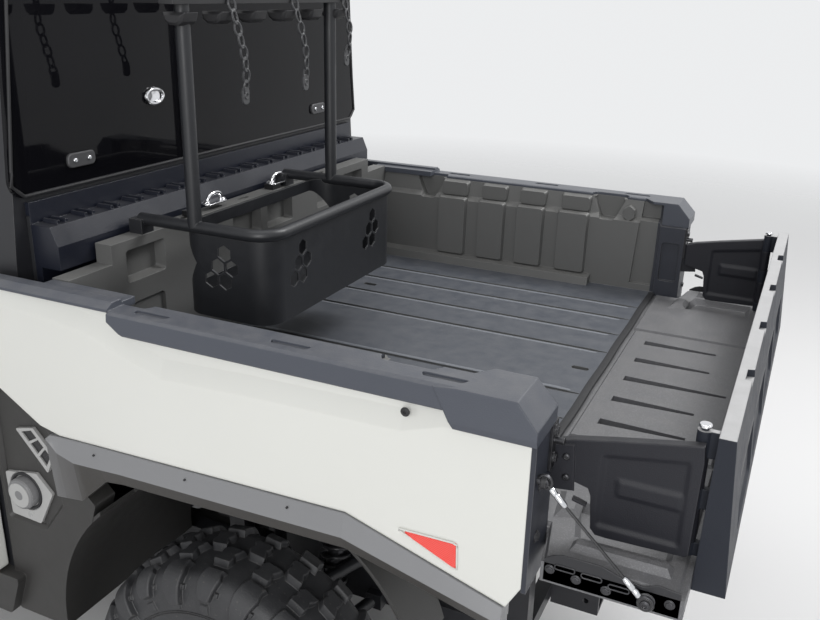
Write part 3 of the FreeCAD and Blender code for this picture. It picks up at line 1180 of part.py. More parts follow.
def make_rack_holder():
    bits = [box(RACK_POST - 20, RACK_POST + 20, RACK_Y0 - 35, RACK_Y1 + 35, BAR_Z, BAR_Z + 34)]
    pitch = (RACK_Y1 - RACK_Y0 + 30) / 5
    for k in range(6):
        y = RACK_Y0 - 15 + pitch * k
        clamp = slab([(RACK_POST - 34, BAR_Z + 34), (RACK_POST + 34, BAR_Z + 34),
                      (RACK_POST + 30, BAR_Z + 66),
                      (RACK_POST + 12, BAR_Z + 74), (RACK_POST - 12, BAR_Z + 74),
                      (RACK_POST - 30, BAR_Z + 66)],
                     y - 34, y + 34, 8)
        bits.append(clamp)
    for y in (400, 240, 60, -60):
        bits.append(box(RACK_POST - 26, RACK_POST - 20, y - 12, y + 12, BAR_Z - 182, BAR_Z + 30))
    keep("rack_holder", join(bits))


CABLE_EYE = (POST_BACK, GATE_Y - 5.0, FLOOR_Z + 140.0)
CABLE_FOOT = (-270.0, GATE_Y + 8.0, GATE_Z + 20.0)


def make_bed_hardware():
    ex, ey, ez = CABLE_EYE
    y = TUB_OUT - 20
    striker = join([box(POST_BACK - 5, POST_BACK, y - 17, y + 15, POST_TOP - 90, POST_TOP - 2),
                    rod((POST_BACK, y, FLOOR_Z + 180), (POST_BACK - 22, y, FLOOR_Z + 180), 6)])
    stud = rod((ex - 18, ey, ez), (ex, ey, ez), 7)
    bits = pair(striker) + pair(stud)
    for y in (-60, 300):
        bits.append(box(BED_LEN + 5, BED_LEN + 35, y - 18, y + 18, HEAD_TOP, HEAD_TOP + 14))
    keep("bed_hardware", Part.makeCompound(bits))


# Tailgate extension

GATE_SLOTS = 5
SLOT_PITCH = 128.0


def make_tailgate():
    y, step = GATE_Y, BED_HALF - 2
    body = plate([(-2, -step), (-2, step), (-80, step), (-94, y), (GATE_END, y), (GATE_END, -y), (-94, -y),
                  (-80, -step)], GATE_Z, FLOOR_Z - 7)
    field = [V(-16, -345, FLOOR_Z - 7), V(-16, 345, FLOOR_Z - 7), V(GATE_END + 14, 345, FLOOR_Z - 7),
             V(GATE_END + 14, -345, FLOOR_Z - 7)]
    wing = [V(-12, 355, FLOOR_Z - 7), V(-12, step - 6, FLOOR_Z - 7), V(-78, step - 6, FLOOR_Z - 7),
            V(-98, y - 6, FLOOR_Z - 7), V(GATE_END + 10, y - 6, FLOOR_Z - 7),
            V(GATE_END + 10, 355, FLOOR_Z - 7)]
    wing = pad(wing, V(0, 0, 7), 4)
    body = join([body, pad(field, V(0, 0, 7), 5), wing, flip(wing)])
    for k in range(GATE_SLOTS):
        mid = SLOT_PITCH * (k - (GATE_SLOTS - 1) / 2)
        end = -300 if k == GATE_SLOTS // 2 else -245
        body = body.cut(plate([(-60, mid - 16), (-60, mid + 12), (end, mid + 4), (end, mid - 8)],
                              FLOOR_Z - 18, FLOOR_Z + 1))
    for s in (1, -1):
        hollow = [V(-100, s * 590, FLOOR_Z), V(-128, s * 706, FLOOR_Z), V(-292, s * 704, FLOOR_Z),
                  V(-292, s * 604, FLOOR_Z)]
        body = body.cut(pad(hollow, V(0, 0, -16), 12))
        gem = [V(-66, s * 572, FLOOR_Z), V(-116, s * 586, FLOOR_Z), V(-122, s * 650, FLOOR_Z),
               V(-78, s * 665, FLOOR_Z)]
        body = body.fuse(pad(gem, V(0, 0, 12), 13))
        ridge = [V(-130, s * 720, FLOOR_Z), V(-130, s * 752, FLOOR_Z), V(-300, s * 752, FLOOR_Z),
                 V(-300, s * 720, FLOOR_Z)]
        body = body.fuse(pad(ridge, V(0, 0, 12), 9))
        x, z = CABLE_FOOT[0], CABLE_FOOT[2]
        body = body.fuse(rod((x, s * (y - 2), z), (x, s * (y + 4), z), 14))
    keep("tailgate", body.removeSplitter())


# columns: foot and head of each knuckle above the bed floor
PANEL_SPANS = ((188.0, 235.0), (94.0, 131.0), (4.0, 29.0))
FLAP_SPANS = ((131.5, 187.5), (29.5, 93.5))
KNUCKLE_R = 12.0
END_LEAN = 22.0


def knuckle(low, high):
    x, y = FLAP_PIN
    return rod((x, y, FLOOR_Z + low), (x, y, FLOOR_Z + high), KNUCKLE_R)


def make_end_panel():
    half, (x, y) = BODY_Y - 100, FLAP_PIN
    body = slab([(END_BACK, GATE_Z), (END_BACK + END_LEAN, END_TOP), (GATE_END - 6, END_TOP),
                 (GATE_END, GATE_Z)],
                -half, half)
    for k in range(4):
        mid = 280 * (k - 1.5)
        body = body.cut(plate([(END_BACK - 1, mid - 34), (END_BACK + 34, mid - 24), (END_BACK + 34, mid + 24),
                               (END_BACK - 1, mid + 34)], END_TOP - 14, END_TOP + 1))
        field = [V(END_BACK, mid - 125, GATE_Z + 30), V(END_BACK, mid + 125, GATE_Z + 30),
                 V(END_BACK + END_LEAN, mid + 125, END_TOP - 30),
                 V(END_BACK + END_LEAN, mid - 125, END_TOP - 30)]
        body = body.cut(pad(field, V(8, 0, 0), 8, 12))
    bits = [body]
    for low, high in PANEL_SPANS:
        leaf = box(GATE_END - 8, x, y - 6, y + 6, FLOOR_Z + low, FLOOR_Z + high)
        bits += pair(join([leaf, knuckle(low, high)]))
    pin = rod((x, y, FLOOR_Z + 2), (x, y, FLOOR_Z + 243), PIN_R)
    keep("end_panel", join(bits + pair(pin)))


FLAP_FRONT = -85.0


def make_flaps():
    x, y = FLAP_PIN
    low, high = FLOOR_Z + 8, FLOOR_Z + 215
    points = [(x, low), (FLAP_FRONT - 90, low), (FLAP_FRONT - 65, low + 32), (FLAP_FRONT - 65, low + 84),
              (FLAP_FRONT, low + 96), (FLAP_FRONT, high - 15), (FLAP_FRONT - 25, high), (x, high)]
    body = slab(points, FLAP_IN, FLAP_OUT, 8)
    back, front = x + 26, FLAP_FRONT - 82
    for face, depth in ((FLAP_OUT, -7), (FLAP_IN, 7)):
        field = [V(back, face, low + 22), V(front, face, low + 22), V(front, face, high - 22),
                 V(back, face, high - 22)]
        body = body.cut(pad(field, V(0, depth, 0), 7, 14))
    for z in (low + 58, high - 92):
        rise = [V(back + 16, FLAP_OUT - 7, z), V(front - 8, FLAP_OUT - 7, z + 4),
                V(front - 8, FLAP_OUT - 7, z + 24),
                V(back + 16, FLAP_OUT - 7, z + 30)]
        body = body.fuse(pad(rise, V(0, 6, 0), 5, 6))
        rise = [p - V(0, 2 * (FLAP_OUT - 7 - (FLAP_IN + FLAP_OUT) / 2), 0) for p in rise]
        body = body.fuse(pad(rise, V(0, -6, 0), 5, 6))
    bracket = slab([(FLAP_FRONT - 62, high - 108), (FLAP_FRONT + 2, high - 100), (FLAP_FRONT + 2, high - 24),
                    (FLAP_FRONT - 62, high - 14)], FLAP_IN - 4, FLAP_IN + 1, 6)
    bits = [body, bracket]
    for a, b in FLAP_SPANS:
        bits.append(knuckle(a, b))
        bits.append(box(x - 2, x + KNUCKLE_R, y, FLAP_IN + 2, FLOOR_Z + a, FLOOR_Z + b))
    flap = join(bits).cut(rod((x, y, FLOOR_Z), (x, y, FLOOR_Z + 250), PIN_R + RUN_GAP))
    reach = KNUCKLE_R + 2
    for a, b in PANEL_SPANS:
        flap = flap.cut(box(x - reach, x + reach, y - reach, FLAP_IN - 0.5, FLOOR_Z + a - 0.4,
                            FLOOR_Z + b + 0.4))
    keep("flap_left", flap)
    keep("flap_right", flip(flap))


def make_stay_cables():
    ex, ey, ez = CABLE_EYE
    fx, fy, fz = CABLE_FOOT
    wire = rod((ex - 13, ey, ez), CABLE_FOOT, 2.5)
    upper = rod((ex - 17, ey, ez), (ex - 9, ey, ez), 12)
    lower = rod((fx, fy - 4, fz), (fx, fy + 4, fz), 12)
    shape = join([wire, upper, lower]).cut(PARTS["bed_hardware"]).cut(PARTS["tailgate"])
    keep("stay_cables", both(shape))


def build():
    for make in (make_frame, make_hitch_receiver, make_skid_plate, make_engine_block, make_driveline,
                 make_wheels,
                 make_knuckles, make_suspension_arms, make_shocks, make_cab_cage, make_roof, make_cab_tub,
                 make_seat_base, make_cab_rear_panel, make_rear_glass, make_windshield, make_dashboard,
                 make_seats,
                 make_steering, make_doors, make_front_fenders, make_front_fascia, make_headlamps,
                 make_front_bumper, make_hood, make_lower_body, make_fuel_filler, make_bed_tub,
                 make_rail_caps,
                 make_side_panels, make_rear_flares, make_reflectors, make_bed_underframe, make_rack_tubes,
                 make_rack_basket, make_rack_holder, make_bed_hardware, make_tailgate, make_end_panel,
                 make_flaps,
                 make_stay_cables):
        make()


build()
for name, shape in PARTS.items():
    out = shape.copy()
    out.translate(V(SHIFT_X, 0, 0))
    out.exportStep("parts/" + name + ".step")
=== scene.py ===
# %% [markdown]
# # Side by side utility vehicle, seen from its rear left
#
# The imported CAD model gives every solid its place. This script gives the surfaces their looks:
# moulded plastics, paint, steel, rubber, glass and cloth, with the small pieces that are too fine
# for the solids. Lengths are in metres, +X is forward, +Y is the vehicle's left, +Z is up.

# %% Load the frame
import math

import bpy
import numpy as np
from mathutils import Matrix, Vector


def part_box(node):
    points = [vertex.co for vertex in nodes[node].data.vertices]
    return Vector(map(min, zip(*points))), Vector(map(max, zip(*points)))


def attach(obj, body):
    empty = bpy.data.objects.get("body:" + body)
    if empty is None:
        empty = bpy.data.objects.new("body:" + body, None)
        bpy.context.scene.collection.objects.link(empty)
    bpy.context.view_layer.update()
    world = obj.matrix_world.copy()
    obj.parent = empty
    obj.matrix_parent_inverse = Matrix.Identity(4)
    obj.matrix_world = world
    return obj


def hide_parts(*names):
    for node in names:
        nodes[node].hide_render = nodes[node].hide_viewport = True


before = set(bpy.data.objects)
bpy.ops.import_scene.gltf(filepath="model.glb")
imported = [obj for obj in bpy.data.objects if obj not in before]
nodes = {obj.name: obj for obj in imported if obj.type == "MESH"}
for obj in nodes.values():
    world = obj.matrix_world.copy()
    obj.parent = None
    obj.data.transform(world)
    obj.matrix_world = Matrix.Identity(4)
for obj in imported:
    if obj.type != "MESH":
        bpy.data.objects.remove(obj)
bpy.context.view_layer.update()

# %% [markdown]
# ## Places that everything else is measured from
# The photograph looks at the cargo bed, so small pieces are placed from the bed: forward from the
# seam between floor and tailgate, left from the centre line and up from the floor. Reading those
# three levels from the frame's own boxes keeps the pieces seated if the CAD model changes.

# %% Bed datum
AXLE_DROP = 0.645
BED_LENGTH = 0.965
SEAM_GAP = 0.002


def corners_of(name):
    """Lowest and highest corner of a CAD node's box."""
    return [np.array(corner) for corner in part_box(name)]


AXLE = sum(corners_of("tyre_rl"))[2] / 2
SEAM = corners_of("tailgate")[1][0] + SEAM_GAP
FLOOR = AXLE + AXLE_DROP
DATUM = np.array([SEAM, 0.0, FLOOR])


def bed(x, y, z):
    """A point, or rows of points, given forward of the seam, left of the centre line and above the
    bed floor."""
    return DATUM + np.stack(np.broadcast_arrays(x, y, z), -1)


print("seam", round(SEAM, 4), "floor", round(FLOOR, 4), "axle", round(AXLE, 4))

# %% [markdown]
# ## Shapes as arrays
# A surface is a grid of points worked out by a formula, and its faces join each point to its
# neighbours. Doing this on whole arrays keeps the formula in sight and the script fast. Every
# helper below returns points and faces only, so that shapes can be repeated and joined before
# they become one mesh.

# %% Grids, caps and copies


def grid_faces(rows, cols, wrap_rows=False, wrap_cols=False):
    """Four-sided faces of a grid of points: each cell joins a point to the next row and column."""
    r = np.arange(rows if wrap_rows else rows - 1)
    c = np.arange(cols if wrap_cols else cols - 1)
    r, c = np.meshgrid(r, c, indexing="ij")
    r2, c2 = (r + 1) % rows, (c + 1) % cols
    return np.stack([r * cols + c, r * cols + c2, r2 * cols + c2, r2 * cols + c], -1).reshape(-1, 4)


def ring_stack(rings, closed=True):
    """Skin over a stack of rings (levels, around, 3), each end closed by a fan to its middle."""
    rings = np.asarray(rings, float)
    levels, around = rings.shape[:2]
    points = rings.reshape(-1, 3)
    faces = [grid_faces(levels, around, wrap_cols=True)]
    if closed:
        k = np.arange(around)
        k2 = (k + 1) % around
        low = np.full(around, len(points))
        high = low + 1
        top = (levels - 1) * around
        points = np.vstack([points, rings[0].mean(0), rings[-1].mean(0)])
        faces.append(np.stack([low, k2, k], -1))
        faces.append(np.stack([high, top + k, top + k2], -1))
    return points, faces


def merge(shapes):
    """Several shapes as one: each list of faces moves up by the points before it."""
    points, faces, start = [], [], 0
    for p, f in shapes:
        points.append(p)
        faces += [part + start for part in f]
        start += len(p)
    return np.vstack(points), faces


def turn_to(origin, z_dir, x_dir=(0, 0, 1)):
    """Frame at origin whose z runs along z_dir and whose x leans towards x_dir."""
    z = np.array(z_dir, float) / np.linalg.norm(z_dir)
    x = np.array(x_dir, float) - np.dot(x_dir, z) * z
    if np.linalg.norm(x) < 1e-6:
        x = np.cross(z, (0.3, 1.0, 0.2))
    x /= np.linalg.norm(x)
    out = np.eye(4)
    out[:3, :3] = np.stack([x, np.cross(z, x), z], 1)
    out[:3, 3] = origin
    return out


def bed_frame(x, y, z, z_dir, x_dir=(0, 0, 1)):
    """The frame of turn_to at a point given from the bed."""
    return turn_to(bed(x, y, z), z_dir, x_dir)


def copies(shape, frames):
    """The shape once in every frame: new point = frame's turn times point, plus its origin."""
    points, faces = shape
    frames = np.asarray(frames, float).reshape(-1, 4, 4)
    moved = np.einsum("kij,pj->kpi", frames[:, :3, :3], points) + frames[:, None, :3, 3]
    step = np.arange(len(frames))[:, None, None] * len(points)
    return moved.reshape(-1, 3), [(f[None] + step).reshape(-1, f.shape[1]) for f in faces]


def mirrored(shape):
    """The shape and its reflection in the centre plane, whose faces are turned round again."""
    points, faces = shape
    return merge([shape, (points * (1, -1, 1), [f[:, ::-1] for f in faces])])


print("array helpers ready")

# %% [markdown]
# ## Families of small shapes
# Nearly every fitting is one of these: something turned on a lathe, a tube along a path or round an
# ellipse, or a plate with a bevelled edge. Each is a formula over a grid, so the number of faces is
# chosen by how large the piece is in view.

# %% Turned, piped and plated shapes


def turned(profile, around=24):
    """Lathe form about z: the point at (radius, height) goes to (r cos a, r sin a, height)."""
    r, h = np.array(profile, float).T
    a = np.linspace(0, 2 * np.pi, around, endpoint=False)
    x, y = r[:, None] * np.cos(a), r[:, None] * np.sin(a)
    return ring_stack(np.stack([x, y, np.broadcast_to(h[:, None], x.shape)], -1))


def pipe(path, radius, around=10, closed=False):
    """Tube along a path: a circle in the plane across each point's direction of travel."""
    path = np.asarray(path, float)
    if closed:
        ahead = np.roll(path, -1, 0) - np.roll(path, 1, 0)
    else:
        ahead = np.gradient(path, axis=0)
    ahead /= np.linalg.norm(ahead, axis=1)[:, None]
    guide = np.array([0.13, 0.21, 0.97]) if abs(ahead[:, 2]).mean() < 0.8 else np.array([0.97, 0.2, 0.1])
    side = np.cross(ahead, guide)
    side /= np.linalg.norm(side, axis=1)[:, None]
    up = np.cross(ahead, side)
    a = np.linspace(0, 2 * np.pi, around, endpoint=False)
    radius = np.broadcast_to(radius, len(path))[:, None, None]
    ring = side[:, None] * np.cos(a)[:, None] + up[:, None] * np.sin(a)[:, None]
    rings = path[:, None] + radius * ring
    if closed:
        return rings.reshape(-1, 3), [grid_faces(len(path), around, True, True)]
    return ring_stack(rings)


def plate(outline, thick, edge=0.0):
    """Flat piece: the outline raised by its thickness, its top shrunk by a bevel of one edge."""
    outline = np.array(outline, float)
    area = np.sum(outline[:, 0] * np.roll(outline[:, 1], -1) - outline[:, 1] * np.roll(outline[:, 0], -1))
    outline = outline if area > 0 else outline[::-1]
    before = outline - np.roll(outline, 1, 0)
    after = np.roll(outline, -1, 0) - outline
    before /= np.linalg.norm(before, axis=1)[:, None]
    after /= np.linalg.norm(after, axis=1)[:, None]
    inward = np.stack([-(before + after)[:, 1], (before + after)[:, 0]], -1)
    share = 1 + np.sum(before * after, axis=1)
    inward /= share[:, None]
    levels = [(0.0, 0.0), (thick - edge, 0.0), (thick, edge)] if edge else [(0.0, 0.0), (thick, 0.0)]
    rings = [np.column_stack([outline + inward * inset, np.full(len(outline), z)]) for z, inset in levels]
    return ring_stack(rings)


def rounded(width, height, radius, steps=5):
    """Rectangle with quarter-circle corners: each corner's centre plus radius times (cos, sin)."""
    turn = np.linspace(0, np.pi / 2, steps)
    out = []
    for k, (sx, sy) in enumerate(((1, 1), (-1, 1), (-1, -1), (1, -1))):
        a = turn + k * np.pi / 2
        out.append(np.stack([sx * (width / 2 - radius) + radius * np.cos(a),
                             sy * (height / 2 - radius) + radius * np.sin(a)], -1))
    return np.vstack(out)


def polygon(sides, radius, phase=0.0):
    """Regular outline: radius times the cosine and sine of equal angles."""
    a = np.linspace(0, 2 * np.pi, sides, endpoint=False) + phase
    return np.stack([radius * np.cos(a), radius * np.sin(a)], -1)


def hoop(wide, high, level, radius, around, count=32):
    """Tube along an ellipse: the point at angle a is (wide cos a, high sin a, level)."""
    flat = polygon(count, 1.0) * (wide, high)
    return pipe(np.column_stack([flat, np.full(count, level)]), radius, around, closed=True)


print("shape families ready")

# %% [markdown]
# ## From arrays to an object
# The last step puts points and faces into a mesh, gives it a material and says which moving body
# carries it. The object stays at the origin, because its place is in its points, as it is in the
# CAD nodes.

# %% Make a piece
made = []


def enclosed(shape):
    """Signed volume: a sixth of the triple product of each triangle's corners, summed."""
    points, total = shape[0], 0.0
    for face in shape[1]:
        for k in range(1, face.shape[1] - 1):
            a, b, c = points[face[:, 0]], points[face[:, k]], points[face[:, k + 1]]
            total += np.einsum("ij,ij->", a, np.cross(b, c)) / 6
    return total


def faces_out(shape):
    """The shape, with its faces turned round where its signed volume is below zero."""
    points, faces = shape
    return (points, [f[:, ::-1] for f in faces]) if enclosed(shape) < 0 else shape


def piece(name, shapes, material, body="chassis", smooth=40, soft_edge=0.0):
    """One object from one or several shapes, shaded smooth up to an angle, riding on a body."""
    shapes = shapes if isinstance(shapes, list) else [shapes]
    points, faces = merge([faces_out(shape) for shape in shapes])
    mesh = bpy.data.meshes.new(name)
    mesh.from_pydata(points, [], [row for part in faces for row in part.tolist()])
    mesh.update()
    obj = bpy.data.objects.new(name, mesh)
    bpy.context.scene.collection.objects.link(obj)
    mesh.materials.append(material)
    mesh.shade_smooth()
    mesh.set_sharp_from_angle(angle=math.radians(smooth))
    if soft_edge:
        rounding = obj.modifiers.new("edge", "BEVEL")
        rounding.width, rounding.segments, rounding.limit_method = soft_edge, 2, "ANGLE"
    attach(obj, body)
    made.append((name, len(mesh.polygons)))
    return obj


print("piece() ready")

# %% [markdown]
# ## Writing a material as a sum
# A material is a graph of nodes, and most of it is arithmetic on masks. The class below wraps a
# node's output so that `1 - mask` or `noise * 0.2` adds the Math nodes itself. Every other node
# comes from one method that takes the node's type, its settings and its inputs.

# %% Sockets that can be added and multiplied


class Value:
    """An output of a node. Its operators add Math nodes and give back their outputs."""

    def __init__(self, paint, socket):
        self.paint, self.socket = paint, socket

    def sum(self, operation, a, b):
        return self.paint.node("ShaderNodeMath", {"operation": operation}, {0: a, 1: b})

    def __rsub__(self, other):
        return self.sum("SUBTRACT", other, self)

    def held(self, low=0.0, high=1.0):
        return self.paint.node("ShaderNodeClamp", {}, {"Value": self, "Min": low, "Max": high})


OPERATORS = {"add": "ADD", "radd": "ADD", "sub": "SUBTRACT", "mul": "MULTIPLY", "rmul": "MULTIPLY",
             "gt": "GREATER_THAN", "lt": "LESS_THAN"}
for mark, operation in OPERATORS.items():
    setattr(Value, "__%s__" % mark, lambda self, other, does=operation: self.sum(does, self, other))


class Paint:
    """A material's graph, with a Principled surface whose inputs are set by name."""

    def __init__(self, name):
        self.material = bpy.data.materials.new(name)
        self.material.use_nodes = True
        self.tree = self.material.node_tree
        self.tree.nodes.clear()
        self.shader = self.tree.nodes.new("ShaderNodeBsdfPrincipled")
        out = self.tree.nodes.new("ShaderNodeOutputMaterial")
        self.tree.links.new(self.shader.outputs[0], out.inputs["Surface"])
        self.place = self.node("ShaderNodeTexCoord", {}, {}, "Object")

    def link(self, target, value):
        if isinstance(value, Value):
            self.tree.links.new(value.socket, target)
        elif hasattr(value, "__len__") and len(value) == 3 and target.type == "RGBA":
            target.default_value = (*value, 1.0)
        else:
            target.default_value = value

    def node(self, kind, settings, inputs, output=0):
        made_node = self.tree.nodes.new(kind)
        for key, value in settings.items():
            setattr(made_node, key, value)
        for key, value in inputs.items():
            self.link(made_node.inputs[key], value)
        return Value(self, made_node.outputs[output])

    def set(self, **inputs):
        for key, value in inputs.items():
            self.link(self.shader.inputs[key.replace("_", " ")], value)

    def noise(self, scale, detail=3.0, rough=0.5):
        return self.node("ShaderNodeTexNoise", {},
                         {"Vector": self.place, "Scale": scale, "Detail": detail, "Roughness": rough})

    def cells(self, scale):
        return self.node("ShaderNodeTexVoronoi", {}, {"Vector": self.place, "Scale": scale}, "Distance")

    def fold(self, value, width):
        """The value folded back and forth between 0 and the width, like a zigzag."""
        return self.node("ShaderNodeMath", {"operation": "PINGPONG"}, {0: value, 1: width})

    def blend(self, mask, a, b):
        mixer = self.tree.nodes.new("ShaderNodeMix")
        mixer.data_type, mixer.clamp_factor = "RGBA", True
        for key, value in ((0, mask), (6, a), (7, b)):
            self.link(mixer.inputs[key], value)
        return Value(self, mixer.outputs[2])

    def axis(self, vector, letter):
        return self.node("ShaderNodeSeparateXYZ", {}, {0: vector}, "XYZ".index(letter))

    def rise(self):
        """Z of the surface's own normal at rest: 1 faces up, -1 faces down."""
        return self.axis(self.node("ShaderNodeTexCoord", {}, {}, "Normal"), "Z")

    def facing_up(self, start=0.17):
        """Share of a surface that faces up at rest: its rise from a start value to one."""
        return ((self.rise() - start) * (1 / (1 - start))).held()

    def worn_edge(self, radius):
        """How far the normal turns if edges are rounded by this radius: 0 on flats, more at edges."""
        soft = self.node("ShaderNodeBevel", {"samples": 4}, {"Radius": radius})
        flat = self.node("ShaderNodeNewGeometry", {}, {}, "Normal")
        dot = self.node("ShaderNodeVectorMath", {"operation": "DOT_PRODUCT"}, {0: soft, 1: flat}, "Value")
        return soft, ((1 - dot) * 6.0).held()

    def bump(self, height, strength, distance, normal=None):
        inputs = {"Height": height, "Strength": strength, "Distance": distance}
        if normal is not None:
            inputs["Normal"] = normal
        return self.node("ShaderNodeBump", {}, inputs)


print("Paint ready")

# %% [markdown]
# ## Moulded plastic
# The bed, tailgate and rail caps are injection moulded plastic with a fine leather-like grain.
# Under a lamp the grain is what breaks up the highlight, the broad tone drifts a little from the
# mould's flow, and every edge is rubbed paler. The same recipe with other numbers serves for the
# smoother plastics, so it is one function of colour, roughness, grain and wear.

# %% Plastic finishes
DUST = (0.33, 0.32, 0.30)


def shades(colour, darker, lighter=None):
    """The colour a share darker and a share lighter, by the same share unless told."""
    lighter = darker if lighter is None else lighter
    return [c * (1 - darker) for c in colour], [c * (1 + lighter) for c in colour]


def plastic(name, colour, rough, grain=0.5, grain_size=700.0, drift=0.14, edge=0.002, rub=0.35, dust=0.0,
            speck=0.0, shine=0.5, others=()):
    """Grained plastic, rubbed pale at its edges. Others lists a colour and a mask for special parts."""
    p = Paint(name)
    soft, rubbed = p.worn_edge(edge)
    broad = p.noise(3.1, 3.0)
    patch = p.noise(23.0, 4.0, 0.6)
    fine = p.noise(grain_size, 2.0, 0.6)
    pits = p.cells(grain_size * 0.55)
    pale = [min(1.0, c * 1.5 + 0.03) for c in colour]
    tone = p.blend((broad - 0.5) * 2.0 * drift + 0.5, *shades(colour, 0.18))
    for other, where in others:
        tone = p.blend(where(p), tone, p.blend(patch, *shades(other, 0.15)))
    tone = p.blend((rubbed * rub * (0.4 + patch)).held(), tone, pale)
    if speck:
        tone = p.blend((p.noise(grain_size * 0.45, 1.0) > 0.6) * speck, tone, pale)
    if dust:
        tone = p.blend((p.facing_up() * (patch * 1.6 - 0.35)).held() * dust, tone, DUST)
    p.set(Base_Color=tone, Roughness=(rough + (patch - 0.5) * 0.22 - rubbed * 0.08).held(0.08, 0.95),
          Specular_IOR_Level=shine, Normal=p.bump(fine * 0.7 + pits * 0.5, grain, 0.0006, soft))
    return p.material


def on_bed_floor(p):
    """Mask of the upward faces close to the bed floor's level."""
    return p.facing_up(0.5) * (p.axis(p.place, "Z") < float(FLOOR + 0.014))


def on_bed_posts(p):
    """Mask of the posts behind the seam, which the photograph shows nearly black."""
    return p.axis(p.place, "X") < float(SEAM + 0.012)


def painted_underside_shade(p):
    """Mask of the faces that lean downwards, from a slight lean on, where painted shade darkens the colour.
    """
    return ((p.rise() * -1.0 - 0.04) * 9.0).held()


def painted_top_highlight(p):
    """Mask of the end panel's upward faces near its top, where a painted highlight stands in for the lamps'
    light on its upper edge.
    """
    return (p.facing_up(0.5) * 4.0).held() * (p.axis(p.place, "Z") > float(FLOOR + 0.2))


bed_plastic = plastic("bed_plastic", (0.122, 0.123, 0.121), 0.5, 0.5, 620, rub=0.6, dust=0.2,
                      others=(((0.062, 0.071, 0.090), on_bed_floor), ((0.024, 0.027, 0.038), on_bed_posts)))
gate_plastic = plastic("gate_plastic", (0.128, 0.129, 0.137), 0.46, 0.9, 950, rub=0.6, dust=0.2, speck=0.55)
cap_plastic = plastic("cap_plastic", (0.068, 0.075, 0.094), 0.4, 0.5, 560, edge=0.004, rub=0.45, dust=0.25)
# The flare's downward faces take a much darker colour: painted shade under its crease and lower lip.
flare_plastic = plastic("flare_plastic", (0.225, 0.228, 0.237), 0.36, 0.2, 900, edge=0.003, rub=0.3,
                        dust=0.1, others=(((0.040, 0.037, 0.034), painted_underside_shade),))
lower_plastic = plastic("lower_plastic", (0.035, 0.034, 0.033), 0.45, 0.3, 700, edge=0.003, rub=0.5,
                        dust=0.1)
cab_plastic = plastic("cab_plastic", (0.02, 0.021, 0.024), 0.5, 0.5, 600, dust=0.1)
ripple_plastic = plastic("ripple_plastic", (0.010, 0.012, 0.021), 0.36, 0.35, 500, rub=0.3, dust=0.1)
dash_plastic = plastic("dash_plastic", (0.05, 0.05, 0.054), 0.6, 0.6, 520)
flap_plastic = plastic("flap_plastic", (0.019, 0.0195, 0.025), 0.46, 0.8, 800, edge=0.003, rub=0.7,
                       dust=0.1, shine=0.28)
# The end panel's upward faces are painted light grey: a painted highlight of the lamps on its top edge.
panel_metal = plastic("panel_metal", (0.022, 0.025, 0.034), 0.5, 0.6, 900, edge=0.003, rub=0.5, shine=0.2,
                      others=(((0.48, 0.48, 0.485), painted_top_highlight),))
silver_plastic = plastic("silver_plastic", (0.42, 0.42, 0.415), 0.3, 0.2, 800, rub=0.3)
cap_grey = plastic("cap_grey", (0.20, 0.20, 0.205), 0.4, 0.6, 700, rub=0.4)
roof_plastic = plastic("roof_plastic", (0.03, 0.03, 0.032), 0.5, 0.5, 500, edge=0.006, dust=0.2)
# The beads' pale colour is a painted highlight for the light on their sides; their edges are also rubbed
# paler.
bead_highlight_plastic = plastic("bead_highlight_plastic", (0.19, 0.202, 0.225), 0.42, 0.5, 620, rub=0.6)
# Strongly paled edges: partly wear, partly a painted highlight along the borders of the links.
strap_rubber = plastic("strap_rubber", (0.055, 0.056, 0.06), 0.34, 0.3, 700, edge=0.001, rub=0.9)
print("plastics", len(bpy.data.materials))

# %% [markdown]
# ## Painted panels
# The side panels, doors, hood and fenders are white moulded panels under a clear coat: a bright
# base, a mirror-like coat over it, and a very slight waviness that bends reflections. Dirt gathers
# low down, so a little of it is mixed in by height.

# %% White paint
p = Paint("white_paint")
soft, rubbed = p.worn_edge(0.004)
wave = p.noise(2.2, 1.0)
haze = p.noise(9.0, 4.0, 0.6)
low = (1.0 - p.axis(p.place, "Z") * 1.6).held()
tone = p.blend((wave - 0.5) * 0.8 + 0.5, (0.70, 0.705, 0.665), (0.765, 0.77, 0.735))
tone = p.blend((haze * low * 0.35).held(), tone, (0.42, 0.39, 0.34))
p.set(Base_Color=tone, Roughness=0.32 + (haze - 0.5) * 0.14, Coat_Weight=0.85, Coat_Roughness=0.06,
      Normal=p.bump(p.noise(420.0, 2.0) * 0.2 + wave, 0.06, 0.002, soft))
white_paint = p.material
print(white_paint.name)

# %% [markdown]
# ## Metals
# Tubes and brackets are powder coated: black, half matt, with the orange-peel skin that the
# powder leaves as it melts. Fasteners are bright zinc, castings are rough grey, and the wheels are
# painted cast aluminium. Metal gets its colour through Metallic, so the base colour is the
# reflection's own tint.

# %% Metal finishes


def metal(name, colour, rough, metallic, peel=0.2, peel_size=260.0, edge=0.0015, rub=0.4,
          bright=(0.5, 0.5, 0.5)):
    """Coated or bare metal: patchy tone and roughness, a fine skin, and bright metal at rubbed edges."""
    p = Paint(name)
    soft, rubbed = p.worn_edge(edge)
    patch = p.noise(31.0, 4.0, 0.6)
    skin = p.noise(peel_size, 2.0)
    tone = p.blend((patch - 0.5) * 0.6 + 0.5, *shades(colour, 0.2))
    tone = p.blend((rubbed * (patch * 2.0 - 0.55)).held() * rub, tone, bright)
    p.set(Base_Color=tone, Metallic=metallic, Roughness=(rough + (patch - 0.5) * 0.25).held(0.06, 0.95),
          Normal=p.bump(skin, peel, 0.0006, soft))
    return p.material


